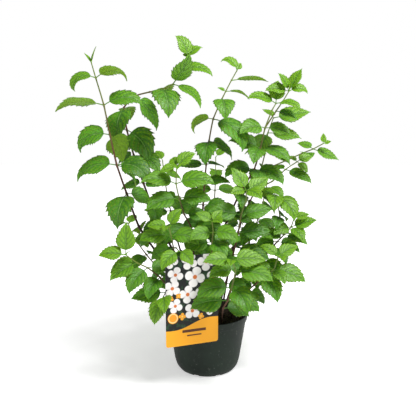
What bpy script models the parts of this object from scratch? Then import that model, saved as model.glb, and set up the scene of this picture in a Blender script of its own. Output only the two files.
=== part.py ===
"""A mock orange shrub growing in a round nursery pot, with a hanging picture tag.

Metres, +Z up, +X to the right and -Y towards the front. The origin is the centre of the pot's foot.
The shrub is a set of leafy stems. Each is listed as the joints that it grows through, from the foot up,
and each joint says which leaves stand there. A leaf that would cross another piece is bent clear of it.
"""

import math
import random

import bmesh
import bpy
import numpy as np
from mathutils import Matrix
from mathutils.bvhtree import BVHTree

SEED = 11

POT_HEIGHT = 0.132
RIM_RADIUS = 0.095
COLLAR_HEIGHT = 0.018
COLLAR_FLARE = 0.0035
WALL_TOP_RADIUS = 0.0895
CORNER_RADIUS = 0.0750
CORNER_HEIGHT = 0.022
HEEL_RADIUS = 0.0710
HEEL_HEIGHT = 0.0095
FOOT_RADIUS = 0.064
WALL = 0.0022
EDGE = 0.0008
INNER_LEDGE = 0.002
FLOOR_INSET = 0.001
POT_SIDES = 44
DRAIN_COUNT = 8
DRAIN_WIDTH = 0.013
DRAIN_HEIGHT = 0.006
DRAIN_LENGTH = 0.022

GAP = 0.0003
MERGE = 0.00005
WELD = 0.00001
SOIL_DROP = 0.010
SOIL_MOUND = 0.004
SOIL_SIDES = 28
SOIL_RINGS = (0.99, 0.76, 0.52, 0.28, 0.0)
SOIL_LUMP = 0.0018
SOIL_FOOT_INSET = 0.0015
SOIL_HEEL_RISE = 0.0012
SOIL_TOP_MARK = 0.003
HOLE_DEPTH = 0.038
FOOT_STUB = 0.008
HOLE_CLEARANCE = 0.0007
HOLE_SIDES = 6

TAG_WIDTH = 0.115
TAG_BOTTOM = 0.100
TAG_TOP = 0.293
TAG_THICKNESS = 0.001
TAG_CORNER = 0.005
TAG_CORNER_STEPS = 3
TAG_YAW = math.radians(20)
TAG_CENTRE = (-0.031, -0.1185)
HOOK_ACROSS = 0.040
HOOK_WIDTH = 0.020
HOOK_REACH = 0.0215
HOOK_ROOT = 0.018
HOOK_DROP = 0.0065

BLADE = 0.0008
STALK_SHARE = 0.15
STALK_HALF_WIDTH = 0.0009
LEAF_WIDTH_SHARE = 0.31
LEAF_FOLD = math.radians(13)
LEAF_ARCH = 7.0
EARLY_BEND = 0.35
MIDRIB_STEPS = 41
LIGHT_OUTWARD = 0.25
LIGHT_FRONT = 0.62
LIGHT_UP = 0.75
MOST_ROLL = 48
LARGE_LEAF = 0.086
TOOTHED_LEAF = 0.070
SPROUT = 0.052
CLEAR_OF_LEAF = 0.0013
CLEAR_OF_STEM = 0.0010
OFF_CANE = 0.0042
ROOM_GROWTH = 1.05
ROOM_SIDES = 8
BARE_SHARE = 0.06
TURN_DRAW = 5
LENGTH_DRAW = (0.96, 1.05)
ROLL_DRAW = 9
TWIG_RADIUS = 0.0016
TIP_RADIUS = 0.0011

LEAF = (0.115, 0.300, 0.035, 1)
POT_GREEN = (0.022, 0.034, 0.028, 1)
SOIL = (0.018, 0.012, 0.008, 1)
TAG = (0.80, 0.42, 0.02, 1)

UP = np.array((0.0, 0.0, 1.0))
NO_LEAVES = ()


def frontness(bearing):
    """1 for a leaf that points at the front, 0 for one that points sideways, up to 0.5 at the back."""
    toward_front = -math.sin(math.radians(bearing))
    return toward_front if toward_front > 0 else -0.5 * toward_front


def pair(bearing, first, second):
    """Two opposite leaves, the first on this bearing in degrees. They droop more towards the front."""
    return tuple(
        (turn, length, 16 - 18 * frontness(turn), -66 - 30 * frontness(turn))
        for turn, length in ((bearing, first), (bearing + 180, second))
    )


# A stem is (name, foot radius, foot (x, y), joints, sprays). A joint is (x, y, z, leaves), and a leaf is
# (bearing, length, rise at its stalk, rise at its tip), with bearing 0 to the right, 90 to the back and
# -90 to the front, all in degrees. A spray is (number of the joint that it leaves, its own joints).
STEMS = (
    (
        "stem_left",
        0.0030,
        (-0.034, -0.018),
        (
            (-0.092, -0.028, 0.245, ((110, 0.055, 10, -50),)),
            (-0.149, -0.035, 0.335, ((-24, 0.080, 8, -96), (100, 0.066, 0, -72))),
            (-0.173, -0.045, 0.410, ((-104, 0.104, -12, -106, 8), (34, 0.068, 0, -84))),
            (-0.192, -0.050, 0.472, ((184, 0.098, 12, -78), (-24, 0.092, 14, -92), (40, 0.080, -16, -98))),
            (-0.204, -0.055, 0.536, ((188, 0.088, 14, -104), (72, 0.088, -40, -100))),
            (-0.214, -0.060, 0.597, ((178, 0.106, 16, -44, 14), (6, 0.092, 34, -60))),
            (-0.229, -0.060, 0.652, ((195, 0.066, 22, -125), (-8, 0.080, 38, -78, -14))),
            (-0.237, -0.060, 0.682, ((160, 0.028, 55, 45, 0), (20, 0.034, 78, 64, 0))),
        ),
        (),
    ),
    (
        "stem_arching",
        0.0030,
        (-0.014, 0.014),
        (
            (-0.045, 0.012, 0.205, NO_LEAVES),
            (-0.076, 0.010, 0.268, pair(120, 0.062, 0.057)),
            (-0.102, 0.020, 0.315, pair(15, 0.064, 0.066)),
            (-0.125, 0.030, 0.367, pair(105, 0.066, 0.062)),
            (-0.147, 0.040, 0.424, ((172, 0.062, 30, -24), (-12, 0.040, 0, -30))),
            (-0.168, 0.045, 0.486, ((-22, 0.080, 0, -80), (150, 0.057, 0, -70))),
            (-0.183, 0.045, 0.545, ((-38, 0.108, -16, -92), (140, 0.066, 5, -80))),
            (-0.188, 0.038, 0.594, ((-96, 0.104, -22, -106, 8), (80, 0.066, 5, -80))),
            (-0.160, 0.026, 0.620, ((28, 0.096, -38, -88),)),
            (-0.126, 0.014, 0.628, NO_LEAVES),
            (-0.098, 0.000, 0.633, ((-72, 0.102, -8, -104, 6), (84, 0.066, 20, -70))),
            (-0.074, -0.008, 0.643, ((-14, 0.086, -12, -84, 16), (-46, 0.080, 40, 66, 165))),
            (-0.054, 0.006, 0.676, ((-12, 0.074, 16, -58),)),
            (-0.042, 0.010, 0.700, ((168, 0.056, 84, 20), (20, 0.046, 60, -10), (100, 0.030, 70, 40))),
        ),
        (),
    ),
    (
        "stem_centre",
        0.0026,
        (0.000, -0.004),
        (
            (-0.013, 0.000, 0.285, pair(115, 0.057, 0.053)),
            (-0.013, 0.000, 0.308, pair(40, 0.060, 0.058)),
            (-0.013, 0.000, 0.334, pair(-30, 0.064, 0.062)),
            (-0.009, 0.000, 0.379, ((172, 0.068, 8, -40), (-18, 0.070, 8, -46))),
            (-0.006, 0.004, 0.426, ((4, 0.062, 40, -24), (180, 0.037, 10, -30))),
            (-0.002, 0.004, 0.470, ((182, 0.064, 2, -16), (35, 0.055, 5, -40))),
            (0.004, 0.000, 0.521, ((-94, 0.086, -6, -104, -4), (22, 0.073, -10, -80))),
            (0.013, -0.005, 0.569, ((185, 0.066, 14, -124, 24), (-26, 0.106, -8, -104))),
            (0.032, -0.010, 0.612, ((-84, 0.074, -6, -104, -8),)),
            (0.040, -0.010, 0.628, ((0, 0.055, 20, -44, -10), (176, 0.020, 30, 10))),
            (0.052, -0.010, 0.651, ((0, 0.078, 8, -16, -6),)),
            (0.064, -0.010, 0.672, ((168, 0.046, 72, -44), (55, 0.024, 64, 50))),
        ),
        (),
    ),
    (
        "stem_right",
        0.0034,
        (0.017, 0.018),
        (
            (0.020, 0.020, 0.271, pair(15, 0.057, 0.055)),
            (0.028, 0.020, 0.293, pair(100, 0.060, 0.056)),
            (0.036, 0.020, 0.318, pair(-62, 0.062, 0.059)),
            (0.052, 0.020, 0.353, pair(178, 0.062, 0.066)),
            (0.074, 0.015, 0.404, pair(-88, 0.057, 0.055)),
            (0.105, 0.010, 0.457, ((190, 0.078, 20, -70), (-14, 0.080, 4, -74), (-84, 0.066, 0, -96))),
            (0.117, 0.000, 0.504, ((170, 0.076, 34, -20), (-110, 0.066, 4, -84), (-26, 0.076, 4, -70))),
            (0.126, -0.010, 0.550, ((190, 0.072, 14, -52), (4, 0.066, 4, -54))),
            (0.140, -0.015, 0.588, NO_LEAVES),
            (0.148, -0.015, 0.602, ((174, 0.068, 34, -30), (70, 0.058, 76, 40), (-14, 0.060, 12, -58))),
        ),
        (
            (
                8,
                (
                    (0.149, -0.012, 0.586, ((-24, 0.051, -8, -42),)),
                    (0.164, -0.011, 0.608, NO_LEAVES),
                    (
                        0.176,
                        -0.010,
                        0.628,
                        (
                            (182, 0.056, 20, -30),
                            (0, 0.048, 30, -66),
                            (28, 0.062, 62, 48, 24),
                            (150, 0.046, 70, 40),
                            (-80, 0.030, 70, 60),
                        ),
                    ),
                ),
            ),
        ),
    ),
    (
        "stem_right_back",
        0.0024,
        (0.036, 0.026),
        (
            (0.060, 0.040, 0.270, ((70, 0.057, 10, -50),)),
            (0.076, 0.045, 0.320, pair(-40, 0.066, 0.062)),
            (0.093, 0.050, 0.366, pair(50, 0.064, 0.059)),
            (0.114, 0.055, 0.408, pair(-20, 0.059, 0.055)),
            (0.125, 0.060, 0.452, pair(65, 0.066, 0.059)),
            (0.136, 0.060, 0.499, ((-4, 0.066, -12, -62), (152, 0.057, 6, -40))),
            (0.140, 0.060, 0.538, ((-6, 0.078, 0, -24), (-118, 0.066, -28, -82))),
            (0.152, 0.058, 0.572, ((-4, 0.086, 12, 4), (120, 0.048, 40, 0))),
        ),
        (
            (
                5,
                (
                    (0.150, 0.045, 0.462, NO_LEAVES),
                    (0.182, 0.028, 0.478, ((100, 0.037, 20, -20),)),
                    (0.212, 0.010, 0.494, ((-62, 0.051, 8, -26),)),
                    (0.234, 0.000, 0.504, ((150, 0.040, 28, 0), (-6, 0.064, -4, -18))),
                    (0.254, -0.008, 0.516, ((80, 0.024, 84, 80), (-5, 0.018, 20, 10))),
                ),
            ),
            (
                4,
                (
                    (0.150, 0.040, 0.428, NO_LEAVES),
                    (0.178, 0.030, 0.456, ((-16, 0.066, -12, -46), (130, 0.037, 20, -10))),
                    (
                        0.204,
                        0.028,
                        0.474,
                        (
                            (14, 0.044, 30, -4),
                            (-42, 0.037, -30, -60),
                            (150, 0.026, 40, 10),
                        ),
                    ),
                ),
            ),
        ),
    ),
    (
        "stem_front_left",
        0.0022,
        (-0.018, -0.036),
        (
            (-0.028, -0.052, 0.260, NO_LEAVES),
            (-0.035, -0.060, 0.340, ((-28, 0.062, 12, -54), (200, 0.068, 14, -62))),
            (-0.049, -0.065, 0.369, ((15, 0.060, 4, -42), (120, 0.052, 5, -40))),
            (-0.059, -0.070, 0.404, ((200, 0.080, 4, -50), (150, 0.060, 0, -46), (-10, 0.074, 12, -30))),
            (-0.065, -0.075, 0.435, ((183, 0.074, 26, -32), (-3, 0.086, 22, -36))),
            (
                -0.063,
                -0.080,
                0.470,
                (
                    (20, 0.050, 52, 4),
                    (-84, 0.046, 28, -50),
                    (186, 0.036, -4, -32),
                    (105, 0.044, 40, 0),
                ),
            ),
        ),
        (),
    ),
    (
        "stem_front_left_low",
        0.0021,
        (-0.042, -0.040),
        (
            (-0.062, -0.062, 0.215, ((172, 0.054, 10, -50),)),
            (-0.066, -0.086, 0.272, ((190, 0.058, -2, -60), (80, 0.050, 2, -50))),
            (-0.070, -0.102, 0.304, ((176, 0.060, -10, -64),)),
            (-0.074, -0.112, 0.332, ((183, 0.070, 10, -40), (-18, 0.070, 16, -66))),
            (-0.078, -0.116, 0.352, ((30, 0.046, 62, 26), (176, 0.046, 12, -18), (-100, 0.036, 20, -50))),
        ),
        (
            (
                3,
                (
                    (-0.064, -0.118, 0.308, NO_LEAVES),
                    (-0.057, -0.138, 0.306, ((212, 0.056, -16, -78), (-40, 0.046, -10, -80))),
                ),
            ),
        ),
    ),
    (
        "stem_front_centre",
        0.0021,
        (0.000, -0.064),
        (
            (0.006, -0.084, 0.200, NO_LEAVES),
            (0.010, -0.091, 0.284, ((20, 0.056, 10, -50),)),
            (0.010, -0.118, 0.320, ((-64, 0.066, 2, -84), (186, 0.062, 2, -56), (30, 0.050, 20, -30))),
            (0.012, -0.128, 0.342, ((-18, 0.060, 14, -60), (204, 0.054, 12, -52))),
            (0.010, -0.130, 0.364, ((170, 0.038, 40, 0), (-60, 0.040, 30, -40), (40, 0.036, 50, 20))),
        ),
        (),
    ),
    (
        "stem_low_left",
        0.0022,
        (-0.058, -0.044),
        (
            (-0.076, -0.084, 0.205, NO_LEAVES),
            (-0.097, -0.118, 0.245, ((-128, 0.064, 0, -92), (60, 0.050, 10, -50))),
            (-0.121, -0.130, 0.269, ((-148, 0.068, 2, -72), (40, 0.052, 10, -30))),
            (-0.141, -0.140, 0.282, ((188, 0.062, 12, -40), (206, 0.066, -46, -68))),
            (-0.162, -0.150, 0.301, ((96, 0.064, 80, 74), (186, 0.057, 14, -28), (-80, 0.034, 30, -20))),
        ),
        (
            (
                1,
                (
                    (-0.086, -0.112, 0.212, ((184, 0.078, -2, -24),)),
                    (-0.090, -0.130, 0.208, ((-62, 0.055, 12, -86), (-128, 0.062, -44, -90))),
                ),
            ),
        ),
    ),
    (
        "stem_front_right",
        0.0024,
        (0.020, -0.042),
        (
            (0.040, -0.062, 0.215, ((-30, 0.055, 10, -50),)),
            (0.055, -0.078, 0.283, ((-10, 0.078, 12, -32), (176, 0.066, 6, -74), (-92, 0.057, 10, -60))),
            (0.065, -0.090, 0.333, ((0, 0.068, 12, -12), (-122, 0.062, 2, -54), (176, 0.057, 10, -50))),
            (0.070, -0.098, 0.373, ((180, 0.071, 16, -12), (0, 0.066, 16, -2))),
            (0.080, -0.100, 0.404, NO_LEAVES),
            (
                0.080,
                -0.100,
                0.424,
                (
                    (152, 0.057, 62, 36),
                    (22, 0.055, 22, 34),
                    (-52, 0.048, 4, -52),
                    (215, 0.039, 10, -40),
                ),
            ),
        ),
        (),
    ),
    (
        "stem_low_front",
        0.0022,
        (0.032, -0.058),
        (
            (0.034, -0.098, 0.172, ((20, 0.068, 0, -60),)),
            (0.042, -0.132, 0.200, ((174, 0.082, 6, -42), (8, 0.073, 2, -60))),
            (0.049, -0.150, 0.232, ((192, 0.075, 16, -60), (-66, 0.076, 2, -86))),
            (0.056, -0.162, 0.272, ((190, 0.057, 12, -56), (-16, 0.078, 8, -42))),
            (0.048, -0.166, 0.294, ((2, 0.071, 12, -24), (182, 0.062, 14, -24), (-96, 0.034, 20, -50))),
        ),
        (),
    ),
    (
        "stem_low_right",
        0.0022,
        (0.056, -0.026),
        (
            (0.092, -0.046, 0.196, ((-72, 0.062, 4, -86), (150, 0.050, 10, -30), (12, 0.056, -26, -76))),
            (0.106, -0.055, 0.212, ((10, 0.064, 6, -50), (190, 0.058, 6, -60))),
            (0.120, -0.065, 0.230, ((-42, 0.070, -8, -88), (100, 0.052, 10, -50), (4, 0.051, 10, -30))),
            (0.142, -0.080, 0.252, ((-8, 0.072, -6, -44), (-60, 0.046, -10, -60), (176, 0.052, 16, -30))),
            (0.150, -0.085, 0.282, ((26, 0.055, 32, -4), (150, 0.048, 40, 0), (-80, 0.039, 20, -40))),
        ),
        (),
    ),
    (
        "stem_far_right",
        0.0026,
        (0.056, 0.006),
        (
            (0.105, 0.010, 0.225, ((-80, 0.057, 2, -78),)),
            (0.125, 0.010, 0.250, ((-30, 0.066, 4, -70), (165, 0.062, 4, -60))),
            (0.145, 0.010, 0.275, ((-60, 0.064, 8, -76), (110, 0.057, 8, -50))),
            (0.160, 0.008, 0.293, ((0, 0.060, 10, -50), (190, 0.058, 10, -60))),
            (0.175, 0.005, 0.310, ((192, 0.057, 12, -32), (-22, 0.062, 12, -32), (80, 0.046, 10, -30))),
            (0.190, 0.004, 0.328, ((-4, 0.064, 22, 6), (-62, 0.055, -8, -72), (-150, 0.052, 4, -50))),
            (0.196, 0.000, 0.350, ((130, 0.036, 70, 44), (2, 0.036, 16, 10))),
        ),
        (
            (
                5,
                (
                    (0.166, 0.018, 0.350, pair(60, 0.050, 0.050)),
                    (
                        0.158,
                        0.024,
                        0.398,
                        (
                            (-100, 0.068, 4, -80),
                            (-30, 0.080, -18, -94),
                            (150, 0.055, 20, -30),
                        ),
                    ),
                ),
            ),
        ),
    ),
    (
        "stem_back_left",
        0.0026,
        (-0.034, 0.044),
        (
            (-0.062, 0.090, 0.240, pair(120, 0.066, 0.062)),
            (-0.074, 0.110, 0.275, pair(20, 0.070, 0.066)),
            (-0.084, 0.128, 0.310, pair(-70, 0.073, 0.068)),
            (-0.092, 0.144, 0.342, pair(30, 0.070, 0.066)),
            (-0.100, 0.158, 0.375, pair(125, 0.071, 0.064)),
            (-0.110, 0.176, 0.430, pair(35, 0.062, 0.057)),
            (-0.114, 0.184, 0.466, ((130, 0.041, 50, 10),)),
        ),
        (),
    ),
    (
        "stem_back",
        0.0026,
        (0.002, 0.050),
        (
            (0.010, 0.108, 0.245, pair(10, 0.066, 0.066)),
            (0.013, 0.128, 0.282, pair(95, 0.068, 0.066)),
            (0.016, 0.148, 0.320, pair(0, 0.073, 0.070)),
            (0.018, 0.162, 0.355, pair(80, 0.070, 0.066)),
            (0.020, 0.176, 0.390, pair(5, 0.071, 0.068)),
            (0.022, 0.192, 0.440, pair(90, 0.059, 0.052)),
            (0.022, 0.200, 0.474, ((20, 0.041, 48, 10),)),
        ),
        (),
    ),
    (
        "stem_back_right",
        0.0024,
        (0.044, 0.050),
        (
            (0.084, 0.092, 0.230, pair(60, 0.064, 0.059)),
            (0.100, 0.110, 0.260, pair(-40, 0.066, 0.062)),
            (0.116, 0.128, 0.292, pair(40, 0.068, 0.064)),
            (0.128, 0.142, 0.322, pair(-50, 0.066, 0.064)),
            (0.138, 0.152, 0.350, pair(50, 0.066, 0.059)),
            (0.150, 0.166, 0.396, pair(-30, 0.057, 0.052)),
            (0.154, 0.172, 0.430, ((60, 0.039, 48, 10),)),
        ),
        (),
    ),
    (
        "stem_back_low_left",
        0.0022,
        (-0.060, 0.012),
        (
            (-0.104, 0.024, 0.212, pair(140, 0.059, 0.052)),
            (-0.142, 0.034, 0.256, pair(60, 0.062, 0.062)),
            (-0.172, 0.042, 0.296, pair(150, 0.059, 0.050)),
            (-0.184, 0.046, 0.326, ((70, 0.041, 40, 0), (-110, 0.041, 30, -30))),
        ),
        (),
    ),
)


def clear_scene():
    for obj in list(bpy.data.objects):
        bpy.data.objects.remove(obj)


def new_collection(name):
    collection = bpy.data.collections.new(name)
    bpy.context.scene.collection.children.link(collection)
    return collection


def material(name, colour, roughness):
    made = bpy.data.materials.new(name)
    made.use_nodes = True
    shader = made.node_tree.nodes["Principled BSDF"]
    shader.inputs["Base Color"].default_value = colour
    shader.inputs["Roughness"].default_value = roughness
    shader.inputs["Metallic"].default_value = 0.0
    return made


def add_object(name, data, collection, finish):
    obj = bpy.data.objects.new(name, data)
    collection.objects.link(obj)
    if finish:
        data.materials.append(finish)
    return obj


def mesh_object(name, points, faces, collection, finish=None):
    mesh = bpy.data.meshes.new(name)
    mesh.from_pydata(points, [], faces)
    return add_object(name, mesh, collection, finish)


def applied(obj):
    """The object's mesh with its modifiers applied, as a new mesh."""
    graph = bpy.context.evaluated_depsgraph_get()
    return bpy.data.meshes.new_from_object(obj.evaluated_get(graph))


def cutter(obj):
    obj.hide_render = True
    obj.display_type = "WIRE"
    return obj


def turned(name, profile, sides, collection, finish):
    """A solid turned about Z, from (radius, height) points up its outer side and down its inner side."""
    mesh = bpy.data.meshes.new(name)
    mesh.from_pydata([(r, 0, z) for r, z in profile], [(i, i + 1) for i in range(len(profile) - 1)], [])
    obj = add_object(name, mesh, collection, finish)
    screw = obj.modifiers.new("turn", "SCREW")
    screw.axis = "Z"
    screw.steps = screw.render_steps = sides
    screw.use_merge_vertices = True
    screw.merge_threshold = MERGE
    return obj


def subtract(obj, collection_of_cutters):
    cut = obj.modifiers.new("holes", "BOOLEAN")
    cut.operation = "DIFFERENCE"
    cut.operand_type = "COLLECTION"
    cut.collection = collection_of_cutters
    cut.solver = "EXACT"


def make_pot(parts, cutters, finish):
    collar_foot = POT_HEIGHT - COLLAR_HEIGHT
    profile = [
        (0, 0),
        (FOOT_RADIUS, 0),
        (HEEL_RADIUS, HEEL_HEIGHT),
        (CORNER_RADIUS, CORNER_HEIGHT),
        (WALL_TOP_RADIUS, collar_foot),
        (RIM_RADIUS - COLLAR_FLARE, collar_foot + EDGE),
        (RIM_RADIUS, POT_HEIGHT - EDGE),
        (RIM_RADIUS - EDGE, POT_HEIGHT),
        (RIM_RADIUS - WALL, POT_HEIGHT),
        (WALL_TOP_RADIUS - WALL, collar_foot - INNER_LEDGE),
        (CORNER_RADIUS - WALL, CORNER_HEIGHT),
        (HEEL_RADIUS - WALL, HEEL_HEIGHT + EDGE),
        (FOOT_RADIUS - FLOOR_INSET, WALL),
        (0, WALL),
    ]
    pot = turned("pot", profile, POT_SIDES, parts, finish)
    drains = bpy.data.collections.new("drain_cutters")
    cutters.children.link(drains)
    for number in range(DRAIN_COUNT):
        turn = math.tau * (number + 0.5) / DRAIN_COUNT
        bpy.ops.mesh.primitive_cube_add(size=1)
        slot = bpy.context.object
        slot.name = f"drain_{number}"
        slot.data.transform(Matrix.Diagonal((DRAIN_LENGTH, DRAIN_WIDTH, DRAIN_HEIGHT * 2, 1)))
        slot.matrix_world = Matrix.Rotation(turn, 4, "Z") @ Matrix.Translation((HEEL_RADIUS, 0, 0))
        for collection in slot.users_collection:
            collection.objects.unlink(slot)
        drains.objects.link(cutter(slot))
    subtract(pot, drains)
    return pot


def soil_top(x, y):
    """The soil's surface: a low mound that falls to the wall, with lumps from a few crossing waves."""
    reach = min(math.hypot(x, y) / RIM_RADIUS, 1)
    lumps = math.sin(190 * x + 1.3) * math.cos(170 * y) + 0.6 * math.sin(310 * y + 240 * x)
    return POT_HEIGHT - SOIL_DROP + SOIL_MOUND * (0.5 - reach**2) + SOIL_LUMP * lumps * (1 - reach**4)


def make_soil(parts, cutters, finish):
    """The potting mix: it fills the pot to a little below the rim, with a plain hole for each stem's foot."""
    edge_level = POT_HEIGHT - COLLAR_HEIGHT - INNER_LEDGE
    reach = WALL_TOP_RADIUS - WALL - GAP * 2
    profile = [
        (0, WALL + GAP),
        (FOOT_RADIUS - SOIL_FOOT_INSET, WALL + GAP),
        (HEEL_RADIUS - WALL - GAP * 2, HEEL_HEIGHT + SOIL_HEEL_RISE),
        (CORNER_RADIUS - WALL - GAP * 2, CORNER_HEIGHT),
        (reach, edge_level),
    ]
    profile += [(reach * share, edge_level + SOIL_TOP_MARK) for share in SOIL_RINGS]
    soil = turned("soil", profile, SOIL_SIDES, parts, None)
    mesh = applied(soil)
    for vertex in mesh.vertices:
        if vertex.co.z > edge_level + SOIL_TOP_MARK / 2:
            vertex.co.z = soil_top(vertex.co.x, vertex.co.y)
    bpy.data.objects.remove(soil)
    soil = add_object("soil", mesh, parts, finish)
    holes = bpy.data.collections.new("hole_cutters")
    cutters.children.link(holes)
    for name, radius, (x, y), _joints, _sprays in STEMS:
        bpy.ops.mesh.primitive_cylinder_add(
            vertices=HOLE_SIDES,
            radius=radius + HOLE_CLEARANCE,
            depth=HOLE_DEPTH * 2,
            location=(x, y, foot_level() - GAP + HOLE_DEPTH),
        )
        hole = bpy.context.object
        hole.name = f"hole_{name}"
        for collection in hole.users_collection:
            collection.objects.unlink(hole)
        holes.objects.link(cutter(hole))
    subtract(soil, holes)
    return soil


def foot_level():
    """Height of every stem's foot, at the bottom of its hole in the soil."""
    return POT_HEIGHT - SOIL_DROP - HOLE_DEPTH


def extruded(name, outline, depth, collection):
    """A flat outline of (x, y) points with depth along Z, centred on its plane, as a closed mesh object."""
    curve = bpy.data.curves.new(name, "CURVE")
    curve.dimensions = "2D"
    curve.fill_mode = "BOTH"
    curve.extrude = depth / 2
    spline = curve.splines.new("POLY")
    spline.points.add(len(outline) - 1)
    for point, (x, y) in zip(spline.points, outline):
        point.co = (x, y, 0, 1)
    spline.use_cyclic_u = True
    drawn = add_object(name + "_outline", curve, collection, None)
    bpy.context.view_layer.update()
    mesh = applied(drawn)
    bpy.data.objects.remove(drawn)
    weld(mesh)
    return add_object(name, mesh, collection, None)


def weld(mesh):
    """Joins the doubled points along a bevelled or extruded curve's caps, and turns every face outwards."""
    welded = bmesh.new()
    welded.from_mesh(mesh)
    bmesh.ops.remove_doubles(welded, verts=welded.verts[:], dist=WELD)
    bmesh.ops.recalc_face_normals(welded, faces=welded.faces[:])
    welded.to_mesh(mesh)
    welded.free()


def card_outline():
    """The card's outline about the middle of its bottom edge, with a short arc at each corner."""
    half = TAG_WIDTH / 2
    height = TAG_TOP - TAG_BOTTOM
    outline = []
    for x, y, start in ((half, 0, -90), (half, height, 0), (-half, height, 90), (-half, 0, 180)):
        centre_x = x - math.copysign(TAG_CORNER, x)
        centre_y = y + (TAG_CORNER if y == 0 else -TAG_CORNER)
        for step in range(TAG_CORNER_STEPS + 1):
            turn = math.radians(start + 90 * step / TAG_CORNER_STEPS)
            outline.append((centre_x + TAG_CORNER * math.cos(turn), centre_y + TAG_CORNER * math.sin(turn)))
    return outline


def hook_outline():
    """The hook from the side, as (back from the card, up from the rim): root, bridge and leg."""
    sunk = TAG_THICKNESS / 4
    under = GAP
    over = GAP + TAG_THICKNESS
    return [
        (sunk, under),
        (HOOK_REACH - TAG_THICKNESS, under),
        (HOOK_REACH - TAG_THICKNESS, -HOOK_DROP),
        (HOOK_REACH, -HOOK_DROP),
        (HOOK_REACH, over),
        (TAG_THICKNESS * 1.5, over),
        (TAG_THICKNESS * 1.5, HOOK_ROOT),
        (sunk, HOOK_ROOT),
    ]


def make_tag(parts, helpers, finish):
    """The picture card, turned a little to the right, with the hook on its back that hangs on the rim."""
    stand = Matrix.Translation((*TAG_CENTRE, 0)) @ Matrix.Rotation(TAG_YAW, 4, "Z")
    upright = Matrix.Rotation(math.pi / 2, 4, "X")
    tag = extruded("tag", card_outline(), TAG_THICKNESS, parts)
    tag.data.transform(stand @ Matrix.Translation((0, 0, TAG_BOTTOM)) @ upright)
    hook = extruded("tag_hook", hook_outline(), HOOK_WIDTH, helpers)
    sideways = Matrix.Rotation(math.pi / 2, 4, "Z")
    hook.data.transform(stand @ Matrix.Translation((HOOK_ACROSS, 0, POT_HEIGHT)) @ sideways @ upright)
    join(tag, [hook], finish)
    return tag


def join(body, others, finish):
    """Fuses the others into the body with one union, and leaves the body with this finish."""
    pieces = bpy.data.collections.new(body.name + "_pieces")
    for obj in others:
        pieces.objects.link(obj)
    union = body.modifiers.new("join", "BOOLEAN")
    union.operation = "UNION"
    union.operand_type = "COLLECTION"
    union.collection = pieces
    union.solver = "MANIFOLD"
    bpy.context.view_layer.update()
    body.data = applied(body)
    body.modifiers.clear()
    for obj in others:
        bpy.data.objects.remove(obj)
    bpy.data.collections.remove(pieces)
    body.data.materials.clear()
    body.data.materials.append(finish)


def ring_faces(rows, columns):
    """Quads between neighbouring rings: corner (row, column) joins the next column and the next row."""
    row, column = np.mgrid[0 : rows - 1, 0:columns]
    after = (column + 1) % columns
    here, below = row * columns, (row + 1) * columns
    return np.stack([here + column, here + after, below + after, below + column], -1).reshape(-1, 4)


def closed_skin(rings):
    """A stack of rings (rows, columns, 3) with a fan over each end: points, quads and end triangles."""
    rows, columns = rings.shape[:2]
    points = np.concatenate([rings.reshape(-1, 3), rings[0].mean(0)[None], rings[-1].mean(0)[None]])
    first, last = rows * columns, rows * columns + 1
    column = np.arange(columns)
    after = (column + 1) % columns
    start = np.stack([np.full(columns, first), after, column], -1)
    end = np.stack([np.full(columns, last), (rows - 1) * columns + column, (rows - 1) * columns + after], -1)
    return points, ring_faces(rows, columns), np.concatenate([start, end])


def tube(name, places, first, last, collection):
    """A four-sided bar that tapers along its places: a bevelled curve made a mesh, with its caps welded."""
    curve = bpy.data.curves.new(name, "CURVE")
    curve.dimensions = "3D"
    curve.bevel_depth = 1.0
    curve.bevel_resolution = 0
    curve.use_fill_caps = True
    spline = curve.splines.new("POLY")
    spline.points.add(len(places) - 1)
    for point, place, radius in zip(spline.points, places, np.linspace(first, last, len(places))):
        point.co = (*place, 1)
        point.radius = radius
    drawn = add_object(name + "_line", curve, collection, None)
    bpy.context.view_layer.update()
    mesh = applied(drawn)
    bpy.data.objects.remove(drawn)
    weld(mesh)
    return add_object(name, mesh, collection, None)


def axes_of(stem):
    """A stem's main axis and its sprays, each as ([(place, leaves)], first radius, last radius)."""
    _name, radius, (x, y), joints, sprays = stem
    main = [((x, y, foot_level()), NO_LEAVES), ((x, y, POT_HEIGHT - SOIL_DROP + FOOT_STUB), NO_LEAVES)]
    main += [(joint[:3], joint[3]) for joint in joints]
    axes = [(main, radius, TIP_RADIUS)]
    for start, spray in sprays:
        route = [(main[start + 1][0], NO_LEAVES)] + [(joint[:3], joint[3]) for joint in spray]
        axes.append((route, TWIG_RADIUS, TIP_RADIUS))
    as_arrays = [[(np.array(place), leaves) for place, leaves in route] for route, _first, _last in axes]
    return [(route, first, last) for route, (_route, first, last) in zip(as_arrays, axes)]


def rise_at(rise_start, rise_end, u):
    """The midrib's climb at u in radians. It changes slowly near the stalk and faster towards the tip."""
    return np.radians(rise_start + (rise_end - rise_start) * (EARLY_BEND * u + (1 - EARLY_BEND) * u**2))


def leaf_axes(bearing, rise):
    """The midrib's tangent, the level direction across it and the blade's unrolled normal, at each rise."""
    turn = math.radians(bearing)
    rise = np.atleast_1d(rise)[:, None]
    ahead = np.array((math.cos(turn), math.sin(turn), 0.0))
    tangent = np.cos(rise) * ahead + np.sin(rise) * UP
    across = np.array((-math.sin(turn), math.cos(turn), 0.0))
    return tangent, across, np.cross(tangent, across)


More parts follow.
